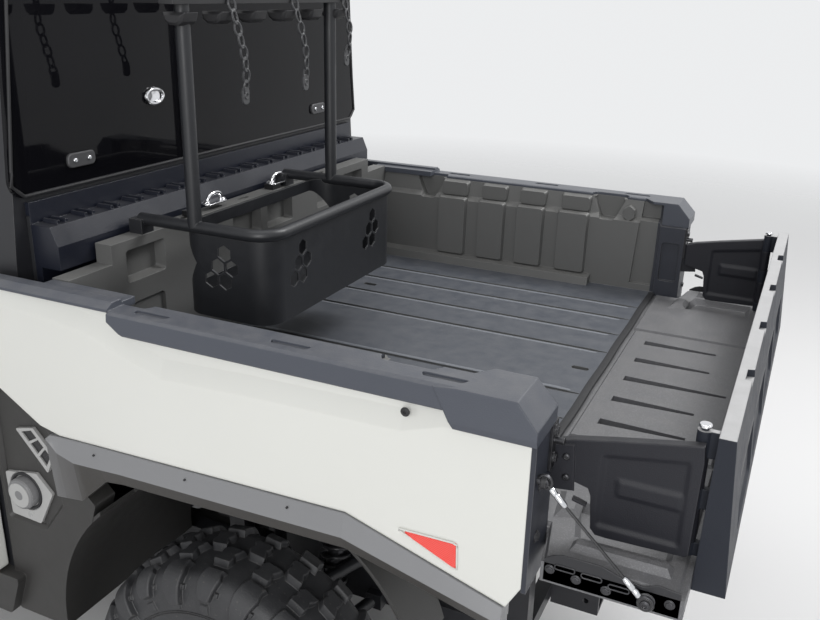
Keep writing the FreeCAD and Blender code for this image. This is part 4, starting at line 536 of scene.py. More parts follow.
powder_black = metal("powder_black", (0.018, 0.0185, 0.022), 0.38, 0.0, 0.25)
rack_powder = metal("rack_powder", (0.015, 0.016, 0.019), 0.42, 0.0, 0.45, 420)
cast_metal = metal("cast_metal", (0.11, 0.11, 0.115), 0.6, 0.75, 0.7, 150)
zinc = metal("zinc", (0.68, 0.69, 0.71), 0.2, 1.0, 0.08, 200, bright=(0.9, 0.9, 0.9))
dark_bolt = metal("dark_bolt", (0.06, 0.06, 0.065), 0.34, 0.8, 0.15, 300)
rim_paint = metal("rim_paint", (0.045, 0.046, 0.05), 0.3, 0.6, 0.1, 200, edge=0.004, rub=0.6,
                  bright=(0.35, 0.35, 0.36))
spring_paint = metal("spring_paint", (0.03, 0.03, 0.033), 0.35, 0.0, 0.15)
sleeve_black = metal("sleeve_black", (0.02, 0.02, 0.022), 0.3, 0.0, 0.3, 500)
chrome = metal("chrome", (0.8, 0.8, 0.82), 0.1, 1.0, 0.03, 200, bright=(0.95, 0.95, 0.95))
print("metals", len(bpy.data.materials))

# %% [markdown]
# ## Rubber, glass, lenses and cloth
# Tyre rubber is nearly black with a grey bloom and small cracks. Window glass is tinted, and the
# rear window is almost opaque. The reflector is a clear red lens over a grid of tiny prisms, which
# shows as a fine check. Seat cloth is a coarse weave.

# %% Rubber
p = Paint("tyre_rubber")
soft, rubbed = p.worn_edge(0.003)
bloom = p.noise(14.0, 5.0, 0.65)
grit = p.noise(330.0, 3.0, 0.6)
tone = p.blend((bloom * 1.5 - 0.4).held(), (0.024, 0.0245, 0.027), (0.058, 0.059, 0.063))
tone = p.blend((rubbed * bloom).held() * 0.6, tone, (0.13, 0.128, 0.125))
tone = p.blend((p.noise(120.0, 2.0) > 0.69) * 0.25, tone, (0.16, 0.15, 0.13))
p.set(Base_Color=tone, Roughness=(0.52 + (bloom - 0.5) * 0.4).held(0.25, 0.9),
      Normal=p.bump(grit + bloom, 0.5, 0.0012, soft))
tyre_rubber = p.material
soft_rubber = plastic("soft_rubber", (0.018, 0.018, 0.02), 0.6, 0.4, 480, edge=0.0015, rub=0.3)
print(tyre_rubber.name, soft_rubber.name)

# %% Glass


def glass(name, tint, see, bend=1.5, coat=0.5):
    """Tinted sheet: what is not seen through is the tint, under smears that dull the reflection."""
    p = Paint(name)
    smear = p.noise(7.0, 4.0, 0.7)
    p.set(Base_Color=p.blend((smear - 0.5) * 0.5 + 0.5, *shades(tint, 0.2, 0.3)),
          Roughness=(0.03 + (smear * 2.0 - 1.0).held() * 0.12).held(0.02, 0.4),
          Alpha=(1 - see) + (smear - 0.5) * 0.03, IOR=bend, Coat_Weight=coat, Coat_Roughness=0.02,
          Normal=p.bump(p.noise(1.4, 1.0), 0.03, 0.01))
    return p.material


dark_glass = glass("dark_glass", (0.005, 0.005, 0.0065), 0.03, bend=1.22, coat=0.08)
clear_glass = glass("clear_glass", (0.05, 0.056, 0.056), 0.72)
lamp_glass = glass("lamp_glass", (0.32, 0.34, 0.36), 0.78)
print("glass ready")

# %% Red lens and lamp bowl
PRISM = 0.0016
p = Paint("red_lens")
turned_45 = p.node("ShaderNodeMapping", {}, {"Vector": p.place, "Rotation": (0.0, math.radians(45), 0.0)})
prism = (p.fold(p.axis(turned_45, "X"), PRISM) + p.fold(p.axis(turned_45, "Z"), PRISM)) * 320.0
# The weak red emission is a painted glow that stands in for light sent back by the reflector; the gauge
# needles share it.
p.set(Base_Color=p.blend(prism.held(), (0.62, 0.015, 0.012), (0.86, 0.075, 0.05)),
      Roughness=0.12 + prism * 0.1, Coat_Weight=1.0, Coat_Roughness=0.03,
      Emission_Color=(0.5, 0.02, 0.01), Emission_Strength=0.25, Normal=p.bump(prism, 0.25, 0.0006))
red_lens = p.material

p = Paint("lamp_bright")
facets = p.cells(160.0)
p.set(Base_Color=p.blend(facets.held(), (0.78, 0.8, 0.84), (0.95, 0.96, 1.0)), Roughness=0.1 + facets * 0.1,
      Metallic=0.9, Normal=p.bump(facets, 0.3, 0.001))
lamp_bright = p.material
print(red_lens.name, lamp_bright.name)

# %% Seat cloth
THREAD = 0.0022
CLOTH_LIGHT = (0.05, 0.05, 0.055)
p = Paint("seat_cloth")
warp = p.fold(p.axis(p.place, "Y"), THREAD) * (1 / THREAD)
weft = p.fold(p.axis(p.place, "X") + p.axis(p.place, "Z"), THREAD) * (1 / THREAD)
over = p.node("ShaderNodeMath", {"operation": "MAXIMUM"}, {0: warp, 1: weft})
fuzz = p.noise(900.0, 2.0)
worn = p.noise(6.0, 4.0)
tone = p.blend((over * 0.7 + fuzz * 0.4 - 0.15).held(), (0.012, 0.012, 0.014), CLOTH_LIGHT)
tone = p.blend((worn * 1.4 - 0.5).held() * 0.4, tone, [c * 1.6 for c in CLOTH_LIGHT])
p.set(Base_Color=tone, Roughness=0.82 + (fuzz - 0.5) * 0.2, Sheen_Weight=0.25,
      Normal=p.bump(over * 0.8 + fuzz * 0.3, 0.6, 0.0008))
seat_cloth = p.material
print(seat_cloth.name)

# %% [markdown]
# ## Finishes on the CAD nodes
# A solid whose shape is already right keeps it and only gets a finish, by filling its material
# slot. The table names the finish of every node in the frame.

# %% Assign finishes
finish = {
    powder_black: "frame hitch_receiver suspension_arms front_bumper bed_underframe cab_cage",
    lower_plastic: "skid_plate front_fascia lower_body",
    cast_metal: "engine_block driveline rear_knuckles knuckle_left knuckle_right steering_column",
    cab_plastic: "cab_tub seat_base",
    roof_plastic: "roof",
    ripple_plastic: "cab_rear_panel",
    dark_glass: "rear_glass",
    clear_glass: "windshield door_glass_left door_glass_right",
    dash_plastic: "dashboard",
    seat_cloth: "seat_cushion seat_back",
    white_paint: "front_fenders door_left door_right hood side_panels",
    lamp_glass: "headlamps",
    silver_plastic: "fuel_filler",
    soft_rubber: "steering_wheel",
    bed_plastic: "bed_tub",
    cap_plastic: "rail_caps",
    flare_plastic: "rear_flares",
    red_lens: "reflectors",
    rack_powder: "rack_tubes rack_basket rack_holder",
    dark_bolt: "bed_hardware shocks",
    gate_plastic: "tailgate",
    panel_metal: "end_panel",
    flap_plastic: "flap_left flap_right",
    sleeve_black: "stay_cables",
    tyre_rubber: "tyre_fl tyre_fr tyre_rl tyre_rr",
    rim_paint: "rim_fl rim_fr rim_rl rim_rr",
}
dressed = set()
for material, names in finish.items():
    for name in names.split():
        slots = nodes[name].data.materials
        slots.clear()
        slots.append(material)
        dressed.add(name)
print("nodes without a finish:", sorted(set(nodes) - dressed))

# %% [markdown]
# ## Tyres
# A real off-road tyre is pressed in a mould: the rubber flows into pockets and leaves tall blocks.
# Here the carcass is one section turned about the axle, and each block is laid on that section.
# A block's outline is given along the tread and around it, so the same numbers wrap over the
# shoulder and down the sidewall. Long and short blocks alternate over twenty-two pitches.

# %% Section of the carcass
tyre_low, tyre_high = corners_of("tyre_rl")
TYRE_R = (tyre_high[2] - tyre_low[2]) / 2
TREAD_R = TYRE_R - 0.010
PITCHES = 22


def smoothed(line, times=2):
    """Corner cutting: every side gives the points at one and three quarters of its length."""
    line = np.array(line, float)
    for _ in range(times):
        a, b = line[:-1], line[1:]
        cut = np.stack([a * 0.75 + b * 0.25, a * 0.25 + b * 0.75], 1).reshape(-1, 2)
        line = np.vstack([line[:1], cut, line[-1:]])
    return line


# columns: distance from the middle of the tread, depth under the tyre's radius
CARCASS = ((0.0, 0.0172), (0.045, 0.0178), (0.084, 0.0215), (0.104, 0.036), (0.1135, 0.060),
           (0.1175, 0.090), (0.1175, 0.112), (0.1145, 0.132), (0.108, 0.150), (0.1035, 0.160),
           (0.1005, 0.164))
half_section = smoothed([(y, TYRE_R - depth) for y, depth in CARCASS])
step = np.diff(half_section, axis=0)
reach = np.concatenate([[0.0], np.cumsum(np.linalg.norm(step, axis=1))])
slope = np.gradient(half_section, reach, axis=0)
outward = np.stack([-slope[:, 1], slope[:, 0]], -1)


def on_tread(u, s, h):
    """Point u round the tyre and s across it, h above the carcass: angle u / R, section at |s| plus h
    times the section's own outward direction."""
    flat = np.abs(s)
    y = np.interp(flat, reach, half_section[:, 0]) + h * np.interp(flat, reach, outward[:, 0])
    r = np.interp(flat, reach, half_section[:, 1]) + h * np.interp(flat, reach, outward[:, 1])
    angle = u / TREAD_R
    return np.stack([r * np.cos(angle), np.sign(s) * y, r * np.sin(angle)], -1)


print("section", len(half_section), "points, reach", round(reach[-1], 4))

# %% [markdown]
# ## Blocks of the tread
# A block is a stack of six-point sections: foot, flank, shoulder, shoulder, flank, foot. Its two
# edges are short tables of places across the tread and around it, so a kink in the table is a notch
# in the rubber. The height drops at both ends, which gives the sloped ends of the mould.

# %% One block, and the pattern
SAMPLES = 11
FOOT = 0.0022


def block(form, sign, shift, height, bevel=0.002, end=0.006):
    """Rings across the tread from the first to the last place of a form's two tables, on the side of
    the sign and moved round by the shift. The height drops at both ends over a short slope."""
    left, right = (np.array(table)[::sign] * (sign, 1) + (0, shift) for table in form)
    s0, s1 = left[0, 0], left[-1, 0]
    s = np.concatenate([[s0], np.linspace(s0 + end, s1 - end, SAMPLES), [s1]])
    a, b = np.interp(s, left[:, 0], left[:, 1]), np.interp(s, right[:, 0], right[:, 1])
    top = np.interp(s, [s[0], s[1], s[-2], s[-1]], [height * 0.25, height, height, height * 0.2])
    edge = np.minimum(bevel, top * 0.6)
    u = np.stack([a - FOOT, a, a + edge, b - edge, b, b + FOOT], 1)
    h = np.stack([0 * top - 0.002, top - edge, top, top, top - edge, 0 * top - 0.002], 1)
    return ring_stack(on_tread(u, np.broadcast_to(s[:, None], u.shape), h))


pitch = 2 * np.pi * TREAD_R / PITCHES
# columns of each table: place across the tread, place around it
CENTRE = (((-0.053, -0.026), (-0.036, -0.030), (-0.030, -0.023), (-0.012, -0.027), (0.005, -0.014)),
          ((-0.053, 0.010), (-0.036, 0.014), (-0.024, 0.009), (-0.012, 0.016), (0.005, 0.021)))
FINGER = (((0.060, -0.022), (0.082, -0.028), (0.100, -0.031), (0.128, -0.027), (0.158, -0.012)),
          ((0.060, 0.026), (0.080, 0.020), (0.088, 0.027), (0.112, 0.021), (0.158, 0.016)))
SHORT = (((0.066, -0.020), (0.086, -0.027), (0.104, -0.029), (0.124, -0.025), (0.138, -0.017)),
         ((0.066, 0.022), (0.080, 0.017), (0.088, 0.024), (0.110, 0.019), (0.138, 0.011)))
STEP = (((0.146, -0.016), (0.170, -0.010)), ((0.146, 0.010), (0.170, 0.012)))
TEETH = (((0.112, 0.024), (0.124, 0.026)), ((0.112, 0.034), (0.124, 0.033)))
CENTRE_HEIGHT, SIDE_HEIGHT = 0.0168, 0.0158
pattern = []
for sign in (1, -1):
    shift = 0.0 if sign > 0 else pitch / 2
    pattern.append(block(CENTRE, sign, shift, CENTRE_HEIGHT))
    for k, form in enumerate((FINGER, SHORT)):
        at = shift + pitch * (0.48 + k)
        pattern.append(block(form, sign, at, SIDE_HEIGHT - 0.002 * k, 0.0026))
        pattern.append(block(STEP, sign, at - 0.004, 0.005, 0.001, 0.003))
        pattern.append(block(TEETH, sign, at - 0.004, 0.006, 0.001, 0.002))
    pattern.append(block(CENTRE, sign, shift + pitch, CENTRE_HEIGHT))
two_pitches = merge(pattern)


def round_axle(centre, count):
    """Frames turned in equal steps about the axle, which runs along y, all at one centre."""
    a = np.linspace(0, 2 * np.pi, count, endpoint=False)
    out = np.tile(np.eye(4), (count, 1, 1))
    out[:, 0, 0], out[:, 0, 2], out[:, 2, 0], out[:, 2, 2] = np.cos(a), np.sin(a), -np.sin(a), np.cos(a)
    out[:, :3, 3] = centre
    return out


print("blocks in the pattern", len(pattern), "faces", sum(len(f) for f in two_pitches[1]))

# %% Four tyres
AROUND = 132
RIDGES = (0.176, 0.181)
section = np.vstack([half_section[::-1] * (-1, 1), half_section[1:]])
lip = np.array([(0.097, TYRE_R - 0.168), (0.092, TYRE_R - 0.1755)])
section = np.vstack([lip[::-1] * (-1, 1), section, lip])
round_tyre = polygon(AROUND, 1.0)
rings = np.stack([section[:, None, 1] * round_tyre[:, 0], section[:, None, 0] + 0 * round_tyre[:, 0],
                  section[:, None, 1] * round_tyre[:, 1]], -1)
carcass = (rings.reshape(-1, 3), [grid_faces(len(section), AROUND, wrap_cols=True)])
along = np.linspace(0, 2 * np.pi, 96, endpoint=False) * TREAD_R
for where in RIDGES:
    for sign in (1, -1):
        ridge = on_tread(along, np.full(96, sign * where), np.zeros(96))
        carcass = merge([carcass, pipe(ridge, 0.0013, 6, closed=True)])
for name in ("fl", "fr", "rl", "rr"):
    centre = sum(corners_of("tyre_" + name)) / 2
    shell = (carcass[0] + centre, carcass[1])
    blocks = copies(two_pitches, round_axle(centre, PITCHES // 2))
    tyre = piece("tyre_tread_" + name, [shell, blocks], tyre_rubber, "wheel_" + name, smooth=32)
    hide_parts("tyre_" + name)
print("tyres", made[-1])

# %% [markdown]
# ## Fasteners
# A button-head screw is a lathe form with a pit in its head, and a hex bolt is a six-sided plate on
# a washer. They are made once and copied into every place of a table, each turned to the face that
# it holds, because a bolt that floats or leans is seen at once.

# %% Screws, bolts and their places


def on_faces(table):
    """Frames for a table of (x, y, z, way): origin from the bed, z axis along the way it faces."""
    ways = {"-x": (-1, 0, 0), "+y": (0, 1, 0), "-y": (0, -1, 0)}
    return [bed_frame(x, y, z, ways[way]) for x, y, z, way in table]


def screw(radius, height):
    """Button head: the radius falls with height close to a quarter circle, round a pit."""
    t = np.linspace(0, np.pi / 2.6, 6)
    dome = [(radius, 0.0)] + [(radius * np.cos(a) ** 0.7, height * (0.25 + 0.75 * np.sin(a))) for a in t]
    pit = [(radius * 0.42, height * 0.98), (radius * 0.40, height * 0.35)]
    return turned(dome + pit, 18)


def hex_bolt(radius, height):
    """Six-sided head with a bevelled top on a round washer."""
    washer = turned([(radius * 1.5, 0.0), (radius * 1.5, height * 0.2), (radius * 1.4, height * 0.28)], 20)
    head = plate(polygon(6, radius * 1.08), height, height * 0.22)
    return merge([washer, head])


def both_sides(table):
    """The table and its mirror image: y and a y-facing way change sign."""
    turn_round = {"+y": "-y", "-y": "+y"}
    return table + [(x, -y, z, turn_round.get(way, way)) for x, y, z, way in table]


post_bolts = both_sides([(-0.080, 0.712, 0.198, "-x"), (-0.080, 0.712, 0.146, "-x"),
                         (-0.075, 0.765, 0.12, "-x"), (-0.075, 0.765, 0.02, "-x")])
bed_bolts = piece("bed_bolts", [copies(hex_bolt(0.0075, 0.006), on_faces(post_bolts))], dark_bolt, "bed")

pins = both_sides([(0.157, 0.800, 0.215, "+y"), (0.868, 0.811, -0.050, "+y"), (0.631, 0.811, -0.043, "+y"),
                   (0.392, 0.811, -0.036, "+y")])
push = turned([(0.0085, 0.0), (0.0085, 0.0015), (0.006, 0.0035), (0.003, 0.0035), (0.0025, 0.0015)], 16)
small = turned([(0.0024, -0.002), (0.0024, 0.0008), (0.0015, 0.0013)], 12)
frames = on_faces(pins)
piece("panel_pins", [copies(push, frames[::4]), copies(small, frames[1:4] + frames[5:])],
      soft_rubber, "bed")
print("bolts", len(post_bolts), "pins", len(pins))

# %% [markdown]
# ## Seam and reflector trim
# A rubber strip closes the seam between floor and tailgate, so that grain and sand stay in the bed.
# It is soft, so it can hide a gap that changes as the gate is folded. The reflector sits in a thin
# white frame.

# %% Seam strip and reflector frame
strip_line = [(-0.0075, 0.0), (-0.005, 0.0035), (0.004, 0.0045), (0.012, 0.0026), (0.0135, 0.0)]
across = np.linspace(-0.688, 0.688, 40)
wavy = 0.0008 * np.sin(across * 21.0)
rows = np.vstack([bed(x + wavy, across, z - 0.001) for x, z in strip_line])
piece("seam_strip", [(rows, [grid_faces(len(strip_line), len(across))])], soft_rubber, "bed")

REFLECTOR = np.array([(0.170, -0.016), (0.052, -0.013), (0.050, -0.068)])
REFLECTOR_FACE = 0.8022
t = np.linspace(0.06, 0.94, 14)[:, None]
flat = np.vstack([a + (b - a) * t for a, b in zip(REFLECTOR, np.roll(REFLECTOR, -1, 0))])
for sign, name in ((1, "left"), (-1, "right")):
    rim = pipe(bed(flat[:, 0], sign * REFLECTOR_FACE, flat[:, 1]), 0.0019, 8, closed=True)
    piece("reflector_rim_" + name, [rim], white_paint, "bed")
print("seam strip and rims", made[-1])

# %% [markdown]
# ## Long beads on the floor
# Low beads run the length of the bed floor beside its grooves, on the side of the middle. They stiffen the
# moulding. Their pale colour is a painted highlight for the light on their sides, and their edges are
# rubbed paler still. Each is a half-round along a straight line, sunk into the floor at both ends, so that
# it tapers off there.

# %% Floor beads
BEADS = (0.1275, 0.2675, 0.4025, 0.5175)
BEAD_BACK, BEAD_FRONT, BEAD_TAPER = 0.030, 0.905, 0.045
BEAD_R, BEAD_FLATNESS, BEAD_SINK = 0.0058, 0.45, 0.0028
along = np.linspace(BEAD_BACK, BEAD_FRONT, 60)
sink = np.clip(np.minimum(along - BEAD_BACK, BEAD_FRONT - along) / BEAD_TAPER, 0, 1) ** 0.5
beads = []
for y in [sign * y for sign in (1, -1) for y in BEADS]:
    path = np.stack(np.broadcast_arrays(along, y, 0.0), -1)
    points, faces = pipe(path, BEAD_R, 10)
    points = points * (1, 1, BEAD_FLATNESS)
    points[:, 2] -= BEAD_SINK * (1 - np.interp(points[:, 0], along, sink))
    beads.append((points + DATUM + (0, 0, -0.0006), faces))
piece("floor_beads", beads, bead_highlight_plastic, "bed")
print("beads", made[-1])

# %% [markdown]
# ## Headboard loops and wall bosses
# Bright forged loops are bolted to the headboard for straps. Each is a foot plate with two round
# lugs joined by an arch, so it is drawn as a pipe along an arch that lands on a plate. A six-sided
# boss with a hole stands near the tail end of each wall.

# %% Chrome loops and bosses
arch = np.linspace(0, np.pi, 15)


def tie_loop():
    """Arch of half width 28 mm and height 22 mm on a foot: (w cos a, 0, h sin a)."""
    path = np.stack([0.028 * np.cos(arch), 0 * arch, 0.004 + 0.022 * np.sin(arch) ** 0.8], -1)
    foot = plate(rounded(0.084, 0.030, 0.012), 0.004, 0.001)
    ears = copies(turned([(0.009, 0.003), (0.009, 0.007), (0.006, 0.009)], 16),
                  [turn_to((x, 0, 0), (0, 0, 1)) for x in (-0.032, 0.032)])
    return merge([pipe(path, 0.0056, 10), foot, ears])


loop_frames = [bed_frame(0.985, y, 0.354, (-0.1, 0, 1), (0, 1, 0)) for y in (0.208, -0.085)]
loops = piece("tie_loops", [copies(tie_loop(), loop_frames)], chrome, "bed", soft_edge=0.0006)

hex_ring = merge([plate(polygon(6, 0.021, 0.5), 0.004, 0.0015),
                  turned([(0.012, 0.004), (0.012, 0.007), (0.008, 0.009)], 16)])
bosses = both_sides([(0.103, 0.726, 0.239, "-y")])
piece("wall_bosses", [copies(hex_ring, on_faces(bosses))], bed_plastic, "bed")
print("loops and bosses", made[-2], made[-1])

# %% [markdown]
# ## Stay cable fittings
# The tailgate hangs on two steel cables in black sleeves. At each end the cable is crimped into a
# bright ferrule, and the ferrule's eye turns on a shoulder bolt, so that the gate can fold up.

# %% Ferrules, eyes and bolts
CABLE_TOP, CABLE_FOOT = np.array([-0.088, 0.785, 0.140]), np.array([-0.270, 0.798, -0.025])
run = (CABLE_FOOT - CABLE_TOP) / np.linalg.norm(CABLE_FOOT - CABLE_TOP)
ferrules, eyes = [], []
for sign in (1, -1):
    flip = np.array([1, sign, 1])
    for start, way in ((CABLE_TOP, run), (CABLE_FOOT, -run)):
        ferrules.append(bed_frame(*((start + way * 0.014) * flip), way * flip))
        eyes.append(bed_frame(*(start * flip), (0, sign, 0), way * flip))
sleeve = turned([(0.0042, 0.0), (0.0055, 0.002), (0.0055, 0.012), (0.0045, 0.014), (0.0055, 0.016),
                 (0.0055, 0.034), (0.0035, 0.038)], 14)
eye = hoop(0.0115, 0.0115, 0.0, 0.0032, 8, 24)
button = turned([(0.0085, -0.004), (0.0085, 0.004), (0.0078, 0.0062), (0.0045, 0.0075), (0.004, 0.005)], 20)
ferrule = piece("cable_ferrules", [copies(sleeve, ferrules)], zinc, "bed")
piece("cable_eyes", [copies(eye, eyes), copies(button, eyes)], dark_bolt, "bed")
print("cable ends", len(eyes))

# %% [markdown]
# ## Rack clamps and their straps
# Tools on the rack are held by six rubber-jawed clamps on a bar. From the clamps hang moulded rubber
# straps with a row of oval links, so that a strap can be hooked at any length. A link is an oval
# ring laid along the strap; the links overlap a little and end in a tab with a hole.

# %% Clamps on the rack's bar
CLAMPS = 6
bar_low, bar_high = corners_of("rack_holder")
BAR_X, BAR_Z = SEAM + BED_LENGTH - 0.133, FLOOR + 0.842
bar_long, bar_middle = bar_high[1] - bar_low[1], (bar_low[1] + bar_high[1]) / 2
rail = copies(plate(rounded(0.040, bar_long, 0.004), 0.034, 0.003),
              [turn_to((BAR_X, bar_middle, BAR_Z), (0, 0, 1), (1, 0, 0))])
jaw = np.array([(0.034, 0.034), (0.033, 0.050), (0.028, 0.066), (0.012, 0.0735), (0.003, 0.069),
                (-0.003, 0.069), (-0.012, 0.0735), (-0.028, 0.066), (-0.033, 0.050), (-0.034, 0.034)])
body_shape, rib_shape = plate(jaw * (0.94, 0.985) + (0, 0.0005), 0.058, 0.007), plate(jaw, 0.010, 0.002)
under = np.array([(0.026, 0.0), (0.022, 0.016), (0.010, 0.025), (-0.012, 0.026), (-0.024, 0.018),
                  (-0.030, 0.0)])
lump = plate(under, 0.050, 0.006)
bodies_at, ribs_at, studs_at = [], [], []
for y in np.linspace(bar_low[1] + 0.036, bar_high[1] - 0.036, CLAMPS):
    bodies_at.append(turn_to((BAR_X, y + 0.029, BAR_Z), (0, -1, 0), (1, 0, 0)))
    ribs_at += [turn_to((BAR_X, y + shift, BAR_Z), (0, -1, 0), (1, 0, 0))
                for shift in (0.034, 0.005, -0.024)]
    studs_at += [turn_to((BAR_X - 0.0315, y + shift, BAR_Z + 0.048), (-1, 0, 0))
                 for shift in (-0.012, 0.016)]
under_at = [turn_to(frame_k[:3, 3] + (0, -0.058, -0.016), (0, 1, 0), (1, 0, 0)) for frame_k in bodies_at]
knob = turned([(0.008, -0.002), (0.008, 0.003), (0.006, 0.005), (0.0025, 0.0055)], 14)

holder = piece("rack_clamps", [rail, copies(body_shape, bodies_at), copies(rib_shape, ribs_at),
                               copies(knob, studs_at), copies(lump, under_at)],
               soft_rubber, "bed", soft_edge=0.0006)
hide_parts("rack_holder")
print("clamps", CLAMPS, made[-1])

# %% Straps
# columns: place across, level of the strap's end, and how far its end hangs sideways
STRAPS = ((0.345, 0.650, -0.035), (0.089, 0.659, -0.038), (-0.160, 0.706, -0.002))
LINK = 0.027
link = pipe(np.insert(polygon(28, 1.0) * (0.0100, 0.0152), 1, 0.0, axis=1), 0.0031, 7, closed=True)
tab = plate(rounded(0.025, 0.040, 0.010), 0.005, 0.001)
eyelet = hoop(0.0062, 0.0062, 0.0052, 0.0018, 6, 28)
links, tabs = [], []
for y, end, drift in STRAPS:
    start = np.array([BAR_X - 0.024, y, BAR_Z + 0.012])
    stop = np.array([BAR_X - 0.030, y + drift, FLOOR + end])
    count = int(round(np.linalg.norm(stop - start) / LINK))
    t = (np.arange(count) + 0.5) / count
    sway = np.stack([-0.012 * np.sin(np.pi * t), 0.004 * np.sin(2 * np.pi * t), 0 * t], -1)
    path = start + (stop - start) * t[:, None] + sway
    for k, (point, along_it) in enumerate(zip(path, np.gradient(path, axis=0))):
        frame_k = turn_to(point, (-1, 0.16 * (-1) ** k, 0), (0, 1, 0))
        down = along_it / np.linalg.norm(along_it)
        frame_k[:3, 0], frame_k[:3, 2] = np.cross(frame_k[:3, 2], down), down
        frame_k[:3, 1] = np.cross(frame_k[:3, 2], frame_k[:3, 0])
        links.append(frame_k)
    tabs.append(turn_to(stop + (0.0025, 0, -0.006), (-1, 0, 0), (0, 1, 0)))
straps = piece("rack_straps", [copies(link, links), copies(merge([tab, eyelet]), tabs)],
               strap_rubber, "bed")
print("links", len(links))

# %% [markdown]
# ## Side flaps of the tailgate extension
# Each flap closes the side of the folded-out gate. It is a moulded plate about 20 mm thick, pressed
# with one wide field and a bar across it for stiffness, and it turns on the end panel's pin. The
# plate is skinned over loops that shrink from its outline to one middle point, and every point is
# then lifted by the relief, so the outline stays exact and the field is a formula.

# %% Outline and relief of a flap
FLAP_LINE = np.array([(-0.085, 0.110), (-0.085, 0.172), (-0.110, 0.181), (-0.180, 0.195), (-0.300, 0.217),
                      (-0.316, 0.219), (-0.319, 0.191), (-0.316, 0.017), (-0.309, 0.012), (-0.180, 0.008),
                      (-0.160, 0.009), (-0.151, 0.020), (-0.146, 0.082), (-0.140, 0.096)])
FLAP_MID = np.array([-0.235, 0.100])
FLAP_IN, FLAP_OUT = 0.680, 0.700
BRACKET_THICK = 0.0035
PIN_X, PIN_Y = -0.310, 0.668


def smooth_step(value, low, high):
    """0 below low, 1 above high, and the cubic 3t^2 - 2t^3 between."""
    t = np.clip((value - low) / (high - low), 0, 1)
    return t * t * (3 - 2 * t)


def inside(x, z, x0, x1, z0, z1, soft):
    """1 well inside a rectangle, falling to 0 over the soft width at its sides."""
    return (smooth_step(x, x0, x0 + soft) * smooth_step(-x, -x1, -x1 + soft) *
            smooth_step(z, z0, z0 + soft) * smooth_step(-z, -z1, -z1 + soft))


def subdivided(outline, step):
    """The outline with each side cut into equal parts no longer than the step."""
    out = []
    for a, b in zip(outline, np.roll(outline, -1, 0)):
        n = max(1, int(np.ceil(np.linalg.norm(b - a) / step)))
        out.append(a + (b - a) * (np.arange(n) / n)[:, None])
    return np.vstack(out)


def relief(x, z):
    """Field 4 mm deep whose upper side follows the plate's, less a bar across it."""
    field = inside(x, z, -0.303, -0.156, 0.024, 0.190 - (x + 0.3) * 0.16, 0.011)
    bar = inside(x, z, -0.300, -0.182, 0.088, 0.130, 0.012)
    return (0.0042 * bar - 0.0040) * field


print("flap outline", len(FLAP_LINE), "corners")

# %% Flaps


def flap_shape(sign):
    """Skin from the inner face's middle out to the edge and back in to the outer face's middle."""
    line = subdivided(FLAP_LINE, 0.005)
    shares = np.concatenate([[1.0], np.linspace(0.988, 0.03, 44)])
    levels = []
    for face, way in ((FLAP_IN, -1), (FLAP_OUT, 1)):
        for share in shares[::-1] if way < 0 else shares:
            flat = FLAP_MID + (line - FLAP_MID) * share
            lift = (relief(flat[:, 0], flat[:, 1]) - (0.0014 if share == 1.0 else 0.0)) * way
            levels.append(np.column_stack([flat[:, 0], sign * (face + lift), flat[:, 1]]))
    points, faces = ring_stack(np.array(levels))
    return points + DATUM, faces


def flap_fittings(sign):
    """Knuckles round the pin with their leaves, the front bracket and its lip."""
    out = []
    for low, high in ((0.1315, 0.1875), (0.0295, 0.0935)):
        ring = [(0.0068, low), (0.0068, high), (0.0110, high), (0.0120, high - 0.001),
                (0.0120, low + 0.001), (0.0110, low), (0.0068, low)]
        out.append(copies(turned(ring, 28), [bed_frame(PIN_X, sign * PIN_Y, 0, (0, 0, 1), (1, 0, 0))]))
        leaf = plate([(-0.3095, 0.6745), (-0.298, 0.6745), (-0.298, 0.682), (-0.3095, 0.682)],
                     high - low, 0.0008)
        out.append(((leaf[0] + (0, 0, low)) * (1, sign, 1) + DATUM, leaf[1]))
    way = bed_frame(0, sign * FLAP_OUT, 0, (0, sign, 0), (1, 0, 0))
    bracket = np.array([(-0.070, 0.080), (-0.118, 0.086), (-0.112, 0.173), (-0.070, 0.166)]) * (1, -sign)
    lip = np.array([(-0.118, 0.072), (-0.142, 0.066), (-0.142, 0.070), (-0.118, 0.077)]) * (1, -sign)
    return out + [copies(plate(bracket, BRACKET_THICK, 0.001), [way]),
                  copies(plate(lip, 0.012, 0.001), [way])]


for sign, side_name in ((1, "left"), (-1, "right")):
    flap = piece("moulded_flap_" + side_name, [flap_shape(sign)] + flap_fittings(sign), flap_plastic,
                 "flap_" + side_name, smooth=35)
    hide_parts("flap_" + side_name)
    bracket_face = FLAP_OUT + BRACKET_THICK - 0.0002
    at = [bed_frame(x, sign * bracket_face, z, (0, sign, 0)) for x, z in ((-0.100, 0.148), (-0.102, 0.109))]
    bolts = piece("flap_bolts_" + side_name, [copies(screw(0.0068, 0.004), at)], dark_bolt,
                  "flap_" + side_name)
print("flaps", made[-4:])

# %% [markdown]
# ## Pin caps and the gate's side edge
# The pins that the flaps turn on end in bright washers. Along each side of the gate a wavy steel
# flange stands up, with slots where the straps of a cover hook in. The flange is a thin wall along
# a line of measured heights.

# %% Pin caps, wavy flange and its slots
cap = turned([(0.0108, 0.0), (0.0108, 0.003), (0.0095, 0.0048), (0.006, 0.0055)], 24)
caps_at = [bed_frame(PIN_X, sign * PIN_Y, 0.2405, (0, 0, 1)) for sign in (1, -1)]
pin_caps = piece("pin_caps", [copies(cap, caps_at)], chrome, "bed")

